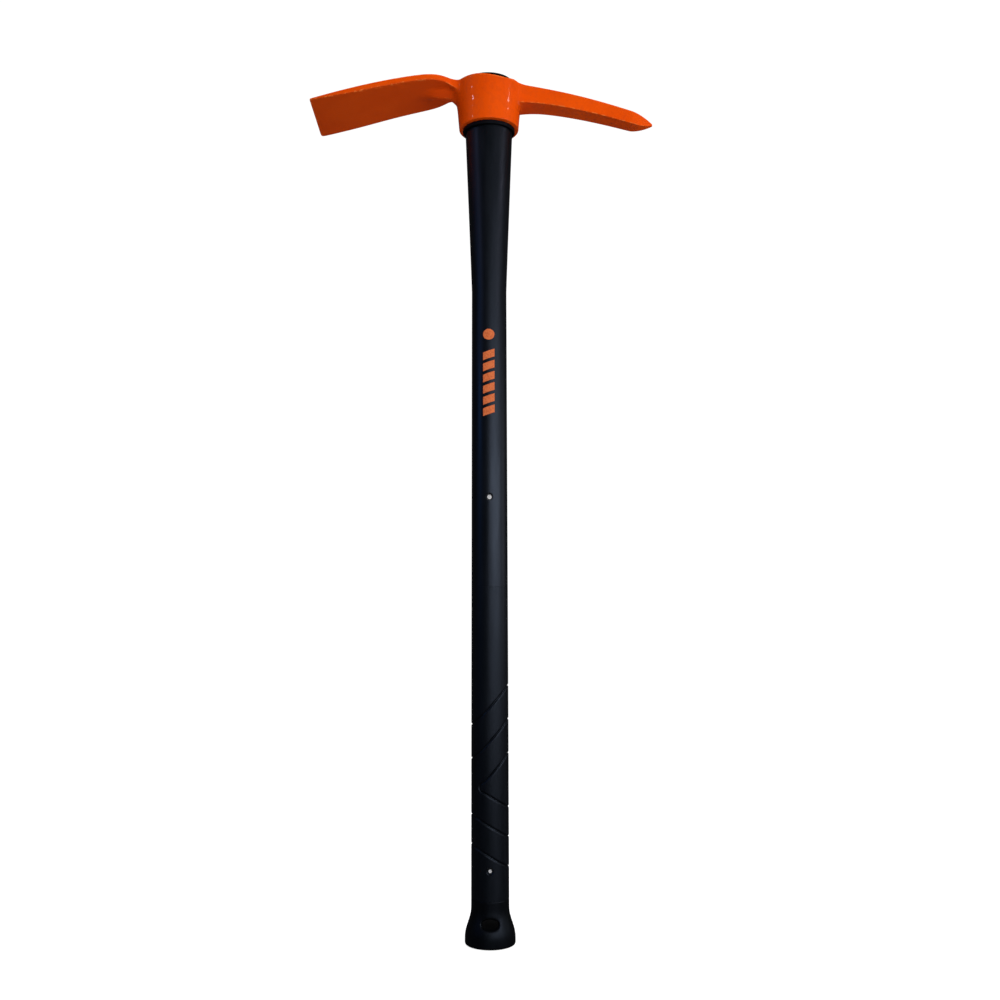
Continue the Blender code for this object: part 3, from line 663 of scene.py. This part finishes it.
pick_stations = [EYE_ROOT + PICK_FILLET_LENGTH * share for share in ROOT_STATIONS]
body_step = (pick_neck - PICK_SHOULDER_ROUND - pick_stations[-1]) / PICK_BODY_STEPS
pick_stations += [pick_stations[-1] + body_step * number for number in range(1, PICK_BODY_STEPS + 1)]
pick_stations.append(pick_neck + PICK_SHOULDER_ROUND)
pick_stations += [pick_neck + PICK_POINT_LENGTH * share for share in POINT_STATIONS]
print("the pick has", len(pick_stations), "sections")

# %% [markdown]
# ## The head: putting the cage together
#
# A crease says for how many levels of subdivision an edge stays sharp. The arms and
# the rims of the eye have high ones, so their edges come out crisp, as they are where
# the flash of a forging is ground off. The ridge under the blade has a lower one, and
# the far corner of the cutting edge has the lowest, so it comes out rounded. That
# needs no extra loops in the cage.

# %% Extrude the two arms and crease the edges
ARM_CREASE = 0.85
ROOT_CREASE = 0.6
CUTTING_CREASE = 0.85
FAR_CORNER_CREASE = 0.35
RIB_CREASE = 0.5
RIB_SECTIONS = 5
RIM_CREASE = 0.75


def face_between(corners):
    """The one face that has all these corners."""
    shared = set(corners[0].link_faces)
    for corner in corners[1:]:
        shared &= set(corner.link_faces)
    return shared.pop()


def grow_arm(bm, faces, sections):
    """Extrudes faces through the sections, and returns the corners of each section."""
    grown = []
    for section in sections:
        made = bmesh.ops.extrude_face_region(bm, geom=faces)["geom"]
        bmesh.ops.delete(bm, geom=faces, context="FACES")
        faces = [item for item in made if isinstance(item, bmesh.types.BMFace)]
        corners = sorted((item for item in made if isinstance(item, bmesh.types.BMVert)),
                         key=lambda corner: corner.co.y)
        rows = len(section[0])
        columns = []
        for number, places in enumerate(section):
            column = sorted(corners[number * rows:(number + 1) * rows], key=lambda c: c.co.z)
            for corner, spot in zip(column, places):
                corner.co = spot
            columns.append(column)
        grown.append(columns)
    return grown


def crease(bm, layer, path, value):
    """Creases the edges along a path of corners."""
    for first, second in zip(path, path[1:]):
        bm.edges.get((first, second))[layer] = value


# %% Build the head
bm = bmesh.new()
layer = bm.edges.layers.float.new("crease_edge")
blade_high = eye_top(-EYE_ROOT)
blade_low = blade_high - BLADE_THICKNESS - BLADE_FILLET
pick_high = eye_top(EYE_ROOT)
pick_low = pick_high - PICK_ROOT_SIZE[1] - PICK_FILLET
heights = [(0, 0), (EYE_ROUND, EYE_ROUND), (blade_low / 3, pick_low / 2),
           (blade_low * 2 / 3, pick_low), (blade_low, (pick_low + pick_high) / 2)]
outer = [eye_ring(bm, eye_outside, low, high) for low, high in heights]
outer.append(eye_ring(bm, eye_outside, blade_high, pick_high, rim=True))
inner = [eye_ring(bm, eye_inside, blade_high, pick_high, rim=True),
         eye_ring(bm, eye_inside, EYE_ROUND, EYE_ROUND), eye_ring(bm, eye_inside, 0, 0)]
lip = [eye_ring(bm, eye_inside, 0, 0, margin=EYE_ROUND),
       eye_ring(bm, eye_outside, 0, 0, margin=-EYE_ROUND)]
bridge(bm, outer + inner + lip, closed=True)

middle = EYE_COLUMNS // 2
blade_columns = [middle - number for number in range(-2, 4)]
pick_columns = list(range(-3, 3))
# The blade's lower row of corners is pulled down in its middle, where the ridge starts
for column, share in zip(blade_columns[1:-1], (0.5, 1, 1, 0.5)):
    outer[4][column].co.z -= RIB_ROOT_DROP * share
# Each arm has its columns and rows of the collar, its sections and the crease at its end
arms = ((blade_columns, [4, 5], [blade_section(x) for x in blade_stations], CUTTING_CREASE),
        (pick_columns, [3, 4, 5], [pick_section(x) for x in pick_stations], ARM_CREASE))
# The rim isn't creased over the root of an arm, where the arm runs on from it
across_arms = set()
for columns, rows, sections, end_crease in arms:
    roots = [[outer[row][column] for row in rows] for column in columns]
    patch = [face_between([left[level], right[level], right[level + 1], left[level + 1]])
             for left, right in zip(roots, roots[1:]) for level in range(len(rows) - 1)]
    across_arms |= {frozenset((left[-1], right[-1])) for left, right in zip(roots, roots[1:])}
    grown = grow_arm(bm, patch, sections)
    for side_column in (0, -1):
        for level in (0, -1):
            line = [section[side_column][level] for section in grown]
            crease(bm, layer, line, ARM_CREASE)
            crease(bm, layer, [roots[side_column][level], line[0]], ROOT_CREASE)
    if columns is blade_columns:
        for side_column in (1, 2, 3, 4):
            line = [section[side_column][0] for section in grown[:RIB_SECTIONS]]
            crease(bm, layer, [roots[side_column][0]] + line, RIB_CREASE)
    last = grown[-1]
    outline = [column[0] for column in last] + last[-1][1:]
    outline += [column[-1] for column in reversed(last[:-1])] + list(reversed(last[0][:-1]))
    crease(bm, layer, outline, end_crease)
    if columns is blade_columns:
        bm.edges.get(last[-1])[layer] = FAR_CORNER_CREASE
for border in ring_edges(outer[-1]):
    if frozenset(border.verts) not in across_arms:
        border[layer] = RIM_CREASE
for border in ring_edges(inner[0]):
    border[layer] = RIM_CREASE

head = make_object(bm, "forged_head")
subdivide(head, 3)
settle(head)
place(head, "mattock_head", enamel)

# %% [markdown]
# ## The jacket of the handle
#
# Under the eye the handle is oval, so that the head can't turn on it, and 180 mm
# lower it is round. The jacket is a stack of oval rings, bridged down the outside and
# back up the bore. The rings lie close together near the locating hole, so that the
# cut there stays clean.

# %% Rings of the jacket
CORE_RADIUS = 15.875
GAP = 0.3
SHAFT_RADIUS = CORE_RADIUS + 2.8
BORE_RADIUS = CORE_RADIUS + GAP
NECK_HALVES = (CORE_RADIUS + 9.9, CORE_RADIUS + 4.2)
NECK_STRAIGHT = 10.0
NECK_LENGTH = 180.0
NECK_CURVE = 1.05
TENON_TAPER = 0.02
TENON_TOP = 47.6
CROWN_TOP = 59.3
BUTT = CROWN_TOP - 914.0
KNOB_SEAT = BUTT + 42.7
GRIP_TOP = KNOB_SEAT + 303.0
UPPER_HOLE_Z = GRIP_TOP + 92.3
LOWER_HOLE_Z = BUTT + 70.5
ROUND_COLUMNS = 96


def oval_ring(bm, half_x, half_y, z, columns=ROUND_COLUMNS):
    """A level ring of corners at a height."""
    shape = Matrix.Translation((0, 0, z)) @ Matrix.Diagonal((half_x, half_y, 1, 1))
    return bmesh.ops.create_circle(bm, segments=columns, radius=1, matrix=shape)["verts"]


def round_ring(bm, radius, z, columns=ROUND_COLUMNS):
    """An oval ring whose halves are alike."""
    return oval_ring(bm, radius, radius, z, columns)


def neck_halves(z):
    """The two half widths of the handle at a height, from the oval neck to the round shaft."""
    share = min(1.0, max(0.0, (z + NECK_STRAIGHT + NECK_LENGTH) / NECK_LENGTH)) ** NECK_CURVE
    return [SHAFT_RADIUS + (half - SHAFT_RADIUS) * share for half in NECK_HALVES]


# Jacket and grip meet in a seam that is only just seen, with both edges bevelled
SEAM = 0.04
SEAM_EDGE = 0.07
NECK_ROWS = 24
# Length and number of the steps over and under the hole, whose own rows are 1 mm apart
OVER_HOLE = (20.0, 10)
UNDER_HOLE = (16.0, 5)
HOLE_ZONE = 7
jacket_end = GRIP_TOP + SEAM
shaft_start = -NECK_STRAIGHT - NECK_LENGTH
levels = [-NECK_STRAIGHT - NECK_LENGTH * number / NECK_ROWS for number in range(NECK_ROWS + 1)]
levels += [shaft_start - OVER_HOLE[0] * number for number in range(1, OVER_HOLE[1] + 1)]
levels += [UPPER_HOLE_Z + HOLE_ZONE - number for number in range(2 * HOLE_ZONE + 1)]
levels += [UPPER_HOLE_Z - HOLE_ZONE - UNDER_HOLE[0] * number for number in range(1, UNDER_HOLE[1] + 1)]
bm = bmesh.new()
rings = [oval_ring(bm, *(half - TENON_TAPER * TENON_TOP for half in NECK_HALVES), TENON_TOP),
         oval_ring(bm, *NECK_HALVES, 0)]
rings += [oval_ring(bm, *neck_halves(z), z) for z in levels]
rings += [round_ring(bm, SHAFT_RADIUS, jacket_end + SEAM_EDGE),
          round_ring(bm, SHAFT_RADIUS - SEAM_EDGE, jacket_end),
          round_ring(bm, BORE_RADIUS, jacket_end), round_ring(bm, BORE_RADIUS, TENON_TOP)]
bridge(bm, rings, closed=True)
jacket = make_object(bm, "handle_jacket_moulding")
print("rings in the jacket:", len(rings))

# %% [markdown]
# ## Locating holes
#
# Pins in the mould hold the rod in the middle while the plastic flows round it, and
# each leaves a round hole through the jacket, with the pale rod at its bottom. The pin
# is tapered so that it pulls out cleanly, so the cutter is a cone: its profile is spun
# round the hole's own axis. The wide mouth shows as a dark ring round the dot.

# %% Drill the locating holes
HOLE_MOUTH = 4.1
HOLE_LIP = 0.1
OVERCUT = 1.0
UPPER_HOLE_ROOT = 2.15
LOWER_HOLE_ROOT = 1.35
DRILLED_EDGE = 35


def hole_cutter(name, root_radius, z, side):
    """A cone on the front or the back, from inside the rod to just outside the shaft."""
    deep, high = CORE_RADIUS - OVERCUT, SHAFT_RADIUS + OVERCUT
    bm = bmesh.new()
    spin_outline(bm, [(0, deep), (root_radius, deep), (root_radius, CORE_RADIUS),
                      (HOLE_MOUTH, SHAFT_RADIUS - HOLE_LIP), (HOLE_MOUTH + HOLE_LIP, high),
                      (0, high)], steps=32)
    turned = Matrix.Translation((0, 0, z)) @ Matrix.Rotation(-side * math.pi / 2, 4, "X")
    bmesh.ops.transform(bm, matrix=turned, verts=bm.verts)
    return make_object(bm, name)


def drill(obj, root_radius, z):
    """Cuts the hole on both sides, then removes the cutters."""
    cutters = [hole_cutter(f"{obj.name}_cutter_{word}", root_radius, z, side)
               for word, side in (("front", -1), ("back", 1))]
    for cutter in cutters:
        boolean = obj.modifiers.new("hole", "BOOLEAN")
        boolean.operation = "DIFFERENCE"
        boolean.solver = "EXACT"
        boolean.object = cutter
    settle(obj, sharp_degrees=DRILLED_EDGE)
    for cutter in cutters:
        bpy.data.objects.remove(cutter)


drill(jacket, UPPER_HOLE_ROOT, UPPER_HOLE_Z)
place(jacket, "handle_jacket", jacket_plastic)

# %% [markdown]
# ## Seal ring
#
# A rubber ring closes the mouth of the eye, so the resin can't run out before it
# sets. Its plug fills the mouth, and its lip lies under the rim and shows as a black
# band. It is a stack of oval rings again.

# %% Seal ring
RING_ROUND = 0.9
RING_LIP = 1.3
RING_TOP = 4.0
RING_BOTTOM = -4.3
RING_CHAMFER = 0.3
RING_STEPS = 5
CAST_EDGE = 50
seal_plug = [half - GAP for half in eye_inside(0)]
seal_outer = [half + RING_LIP for half in eye_inside(0)]
seal_inner = [half + GAP for half in NECK_HALVES]
bm = bmesh.new()
rings = [oval_ring(bm, *seal_plug, RING_TOP), oval_ring(bm, *seal_plug, -GAP),
         oval_ring(bm, *seal_outer, -GAP)]
for number in range(RING_STEPS + 1):
    turn = math.pi / 2 * number / RING_STEPS
    inset = RING_ROUND * (1 - math.cos(turn))
    rings.append(oval_ring(bm, *(half - inset for half in seal_outer),
                           RING_BOTTOM + RING_ROUND * (1 - math.sin(turn))))
rings += [oval_ring(bm, *(half + RING_CHAMFER for half in seal_inner), RING_BOTTOM),
          oval_ring(bm, *seal_inner, RING_BOTTOM + RING_CHAMFER), oval_ring(bm, *seal_inner, RING_TOP)]
bridge(bm, rings, closed=True)
seal = make_object(bm, "mouth_seal_ring")
settle(seal, sharp_degrees=CAST_EDGE)
place(seal, "eye_seal_ring", seal_rubber)

# %% [markdown]
# ## Crown
#
# On top, a black crown stands up over the eye. Its rings shrink by a low power of the
# cosine, which keeps the edge full, and it leans a little, as the eye's top does.

# %% Crown
CROWN_MARGIN = 2.4
CROWN_LEAN = 0.02
CROWN_FULLNESS = 0.45
CROWN_WALL_HEIGHT = 8.8
CROWN_STEPS = 13
crown_base = TENON_TOP + GAP
crown_edge = crown_base + CROWN_WALL_HEIGHT
crown_halves = [half - CROWN_MARGIN for half in eye_inside(TENON_TOP)]
crown_rise = math.sqrt((CROWN_TOP - crown_edge) ** 2 - (CROWN_LEAN * crown_halves[0]) ** 2)
bm = bmesh.new()
rings = [oval_ring(bm, *crown_halves, crown_base), oval_ring(bm, *crown_halves, crown_edge)]
for number in range(1, CROWN_STEPS):
    turn = math.pi / 2 * number / CROWN_STEPS
    rings.append(oval_ring(bm, *(half * math.cos(turn) ** CROWN_FULLNESS for half in crown_halves),
                           crown_edge + crown_rise * math.sin(turn)))
for ring in rings[1:]:
    for vert in ring:
        vert.co.z -= CROWN_LEAN * vert.co.x
bridge(bm, rings)
for ring in (rings[0], rings[-1]):
    bmesh.ops.contextual_create(bm, geom=ring_edges(ring))
crown = make_object(bm, "crown_dome")
settle(crown, sharp_degrees=CAST_EDGE)
place(crown, "crown_cap", crown_plastic)

# %% [markdown]
# ## The grip
#
# The grip has five grooves that a hand can feel: two fall steeply to the left, one
# falls and turns back, and two rise to the left. They are alike on the front and the
# back. A fine tube is made first, and every point of it that lies near the path of a
# groove is pushed in by a smooth profile, which leaves soft lips as in real rubber.

# %% Paths of the grooves
STEEP = {"height": 247.3, "pitch": 33.1, "slope": -1.03, "sag": -2.2}
SHALLOW = {"height": 129.0, "pitch": 28.2, "slope": 0.57, "sag": 0.8}
TURN_X = -6.5
TURN_DEPTH = 8.2
LONG_STEPS = 600
SHORT_STEPS = 400
TURN_STEPS = 200


def groove_z(kind, x, number):
    """Height of a groove at x. The right end is set, and slope is the rise to the left."""
    right_end = BUTT + kind["height"] - kind["pitch"] * number
    bow = kind["sag"] * (1 - (x / SHAFT_RADIUS) ** 2)
    return right_end + kind["slope"] * (SHAFT_RADIUS - x) + bow


def on_surface(x, z, side):
    """The point of the grip's front (-1) or back (1) at x and z."""
    return Vector((x, side * math.sqrt(max(0.0, SHAFT_RADIUS ** 2 - x ** 2)), z))


def groove_points():
    """Points along all the grooves, less than a fifth of a millimetre apart."""
    points = []
    for kind, number in ((STEEP, 0), (STEEP, 1), (SHALLOW, 1), (SHALLOW, 2)):
        for step in range(LONG_STEPS):
            x = SHAFT_RADIUS * math.cos(math.pi * step / (LONG_STEPS - 1))
            points += [on_surface(x, groove_z(kind, x, number), side) for side in (-1, 1)]
    reach = SHAFT_RADIUS - TURN_X
    for step in range(SHORT_STEPS):
        x = SHAFT_RADIUS - reach * (1 - math.cos(math.pi / 2 * step / (SHORT_STEPS - 1)))
        for kind, number in ((STEEP, 2), (SHALLOW, 0)):
            points += [on_surface(x, groove_z(kind, x, number), side) for side in (-1, 1)]
    start, end = groove_z(STEEP, TURN_X, 2), groove_z(SHALLOW, TURN_X, 0)
    for step in range(TURN_STEPS):
        turn = math.pi * step / (TURN_STEPS - 1)
        x = TURN_X - TURN_DEPTH * math.sin(turn) / 2
        z = (start + end) / 2 + (start - end) / 2 * math.cos(turn)
        points += [on_surface(x, z, side) for side in (-1, 1)]
    return points


# %% Build the grip
GROOVE_WIDTH = 1.2
GROOVE_DEPTH = 1.1
GROOVE_FLANK = 1.5
GRIP_COLUMNS = 200
GRIP_ROW = 0.6
PLAIN_ROWS = 12
PLAIN_END = 3.0
GROOVED_HEIGHTS = (50.0, 262.0)
grip_low = KNOB_SEAT + SEAM
grooved_low, grooved_high = (BUTT + height for height in GROOVED_HEIGHTS)
plain, grooved = GRIP_TOP - grooved_high, grooved_high - grooved_low
row_count = round(grooved / GRIP_ROW)
levels = [GRIP_TOP - SEAM_EDGE - plain * number / PLAIN_ROWS for number in range(PLAIN_ROWS)]
levels += [grooved_high - grooved * number / row_count for number in range(row_count)]
levels += [grooved_low, grooved_low - PLAIN_END, grip_low + SEAM_EDGE]
bm = bmesh.new()
grip_rings = [(SHAFT_RADIUS - SEAM_EDGE, GRIP_TOP), *((SHAFT_RADIUS, z) for z in levels),
              (SHAFT_RADIUS - SEAM_EDGE, grip_low), (BORE_RADIUS, grip_low), (BORE_RADIUS, GRIP_TOP)]
rings = [round_ring(bm, radius, z, GRIP_COLUMNS) for radius, z in grip_rings]
bridge(bm, rings, closed=True)

paths = groove_points()
tree = kdtree.KDTree(len(paths))
for number, point in enumerate(paths):
    tree.insert(point, number)
tree.balance()
for vert in bm.verts:
    radius = math.hypot(vert.co.x, vert.co.y)
    # The bore stays round
    if radius < (BORE_RADIUS + SHAFT_RADIUS) / 2:
        continue
    distance = tree.find(vert.co)[2] / GROOVE_WIDTH
    if distance < 1:
        inward = GROOVE_DEPTH * (1 - distance ** 2) ** GROOVE_FLANK / radius
        vert.co.x *= 1 - inward
        vert.co.y *= 1 - inward
grip = make_object(bm, "grooved_grip")
drill(grip, LOWER_HOLE_ROOT, LOWER_HOLE_Z)
place(grip, "grip_sleeve", grip_rubber)

# %% [markdown]
# ## The end knob
#
# The knob keeps the hands from sliding off, and an oval hole through it lets the tool
# hang on a nail. Its outline is spun round the handle's axis. The hole is modelled
# into the cage rather than cut: a patch of faces is deleted on the front and the
# back, its border is set to an oval, and the two borders are bridged. A Subdivision
# Surface then rounds the rim evenly, as the mould does.

# %% Outline of the knob
KNOB_RADIUS = 24.8
FLARE_BOTTOM = 7.0
FLARE_TOP = 34.0
KNOB_TOP = 42.7
SOCKET_FLOOR = KNOB_TOP - 6.0
HOLE_CENTRE = 21.9
HOLE_HALVES = (8.2, 4.5)
RIM = 1.7
RIM_ROUND = 1.1
TUNNEL_CUTS = 4
ROWS_BELOW_TOP = (0.0, 1.2, 4.2, 8.7, 11.7)
ROWS_ABOVE_BUTT = (12.5, 9.5, 6.5, 3.4, 1.2)
# Inset from the widest radius and height of each corner of the foot's round
FOOT = ((1.6, 0.3), (4.5, 0), (9.0, 0), (KNOB_RADIUS, 0))
KNOB_COLUMNS = 32
PATCH_TURN = 2 * 2 * math.pi / KNOB_COLUMNS
KNOB_DRAW = (2 + math.cos(2 * math.pi / KNOB_COLUMNS)) / 3


def knob_radius(height):
    """The radius of the flare at a height over the butt."""
    share = min(1.0, max(0.0, (FLARE_TOP - height) / (FLARE_TOP - FLARE_BOTTOM)))
    return SHAFT_RADIUS + (KNOB_RADIUS - SHAFT_RADIUS) * (1 - math.cos(math.pi * share)) / 2


hole_half = HOLE_HALVES[1] + RIM
hole_rows = [HOLE_CENTRE + hole_half * share for share in (1, 0.5, 0, -0.5, -1)]
rows = [KNOB_TOP - drop for drop in ROWS_BELOW_TOP] + hole_rows + list(ROWS_ABOVE_BUTT)
outline = [(0, SOCKET_FLOOR), (BORE_RADIUS, SOCKET_FLOOR), (BORE_RADIUS, KNOB_TOP)]
outline += [(knob_radius(height), height) for height in rows]
outline += [(KNOB_RADIUS - inset, height) for inset, height in FOOT]
bm = bmesh.new()
layer = bm.edges.layers.float.new("crease_edge")
spin_outline(bm, [(radius / KNOB_DRAW, BUTT + height) for radius, height in outline], KNOB_COLUMNS)
bmesh.ops.remove_doubles(bm, verts=bm.verts, dist=0.01)
print("rows in the knob:", len(outline))


# %% Open the hanging hole
def knob_patch(bm, side):
    """The faces inside the hole's four by four patch on the front (-1) or the back (1)."""
    half_angle = PATCH_TURN + math.radians(1)
    found = []
    for face in bm.faces:
        centre = face.calc_center_median()
        height = centre.z - BUTT
        turn = abs(math.atan2(centre.x, side * centre.y))
        outside = math.hypot(centre.x, centre.y) > BORE_RADIUS + 1
        if outside and turn < half_angle and abs(height - HOLE_CENTRE) < hole_half:
            found.append(face)
    return found


def border_loop(bm, faces, side):
    """Deletes the faces and sets their border to the hole's oval on the knob's surface."""
    border = {edge for face in faces for edge in face.edges
              if sum(other in faces for other in edge.link_faces) == 1}
    corners = {corner for edge in border for corner in edge.verts}
    bmesh.ops.delete(bm, geom=faces, context="FACES")
    for corner in corners:
        wide = corner.co.x / (knob_radius(HOLE_CENTRE) * math.sin(PATCH_TURN))
        high = (corner.co.z - BUTT - HOLE_CENTRE) / hole_half
        turn = math.atan2(high, wide)
        x = (HOLE_HALVES[0] + RIM) * math.cos(turn)
        height = HOLE_CENTRE + hole_half * math.sin(turn)
        corner.co = (x, side * math.sqrt(knob_radius(height) ** 2 - x ** 2), BUTT + height)
    return list(border)


tunnel_ends = []
for side in (-1, 1):
    border = border_loop(bm, knob_patch(bm, side), side)
    made = bmesh.ops.extrude_edge_only(bm, edges=border)["geom"]
    corners = [item for item in made if isinstance(item, bmesh.types.BMVert)]
    shrink = [half / (half + RIM) for half in HOLE_HALVES]
    for corner in corners:
        corner.co.x *= shrink[0]
        corner.co.z = BUTT + HOLE_CENTRE + (corner.co.z - BUTT - HOLE_CENTRE) * shrink[1]
        corner.co.y -= side * RIM_ROUND
    tunnel_ends += [item for item in made if isinstance(item, bmesh.types.BMEdge)]
bridged = bmesh.ops.bridge_loops(bm, edges=tunnel_ends)
through = [edge for edge in bridged["edges"]
           if abs(edge.verts[0].co.y - edge.verts[1].co.y) > SHAFT_RADIUS / 2]
bmesh.ops.subdivide_edges(bm, edges=through, cuts=TUNNEL_CUTS)

# The socket's edges and the top edge stay sharp. They are found by radius and height
sharp = [(round(radius, 2), round(height, 2)) for radius, height in
         ((BORE_RADIUS, SOCKET_FLOOR), (BORE_RADIUS, KNOB_TOP), (SHAFT_RADIUS, KNOB_TOP))]
for edge in bm.edges:
    ends = [(round(math.hypot(vert.co.x, vert.co.y) * KNOB_DRAW, 2), round(vert.co.z - BUTT, 2))
            for vert in edge.verts]
    if ends[0] == ends[1] and ends[0] in sharp:
        edge[layer] = 1.0
knob = make_object(bm, "end_knob")
subdivide(knob, 2)
settle(knob)
place(knob, "butt_knob", knob_plastic)

# %% [markdown]
# ## Printed bars on the shaft
#
# A dot and six slanted bars are screen printed on the shaft, in a matte orange ink.
# Each bar starts as a small grid, is sheared, and is wrapped on the shaft by setting
# its depth from its width. A Solidify modifier gives the ink its thickness.

# %% Ink
INK_GRAIN = 1.5 * MM

# The ink is matte and slightly uneven, so the bars look a little paler than the head
ink, tree, surface, coords = new_material("matte_orange_screen_ink", 0.6, 0.3)
grain = noise(tree, coords, INK_GRAIN, 2.0)
tree.links.new(two_tones(tree, grain, "#C95F30", "#DE743F", 0.3, 0.6), surface.inputs["Base Color"])

# %% Print
PRINT_X = -0.5
PRINT_HALF_WIDTH = 6.0
BAR_HEIGHT = 8.4
BAR_PITCH = 12.1
BAR_SLANT = 0.35
INK_LIFT = 0.05
BAR_COUNT = 6
FIRST_BAR_Z = -265.0
DOT_Z = -243.0
facing_front = Matrix.Rotation(math.pi / 2, 4, "X")

bm = bmesh.new()
for number in range(BAR_COUNT):
    centre = FIRST_BAR_Z - BAR_PITCH * number
    shape = Matrix.Translation((PRINT_X, 0, centre)) @ facing_front
    shape = shape @ Matrix.Diagonal((PRINT_HALF_WIDTH, BAR_HEIGHT / 2, 1, 1))
    made = bmesh.ops.create_grid(bm, x_segments=12, y_segments=2, size=1, matrix=shape)["verts"]
    for vert in made:
        vert.co.z += (vert.co.x - PRINT_X) * BAR_SLANT
dot = Matrix.Translation((PRINT_X, 0, DOT_Z)) @ facing_front
made = bmesh.ops.create_circle(bm, cap_ends=True, cap_tris=True, segments=48,
                               radius=PRINT_HALF_WIDTH, matrix=dot)["verts"]
spokes = [edge for edge in bm.edges if len(edge.link_faces) == 2
          and edge.verts[0] in made and edge.verts[1] in made]
bmesh.ops.subdivide_edges(bm, edges=spokes, cuts=3)
for vert in bm.verts:
    vert.co.y = -math.sqrt((SHAFT_RADIUS + INK_LIFT) ** 2 - vert.co.x ** 2)
print_marks = make_object(bm, "printed_bars")
solid = print_marks.modifiers.new("ink", "SOLIDIFY")
solid.thickness = INK_LIFT * MM
solid.offset = 0
settle(print_marks, sharp_degrees=30)
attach(print_marks, "root")
print_marks.data.materials.append(ink)
print("bars in the print:", BAR_COUNT)
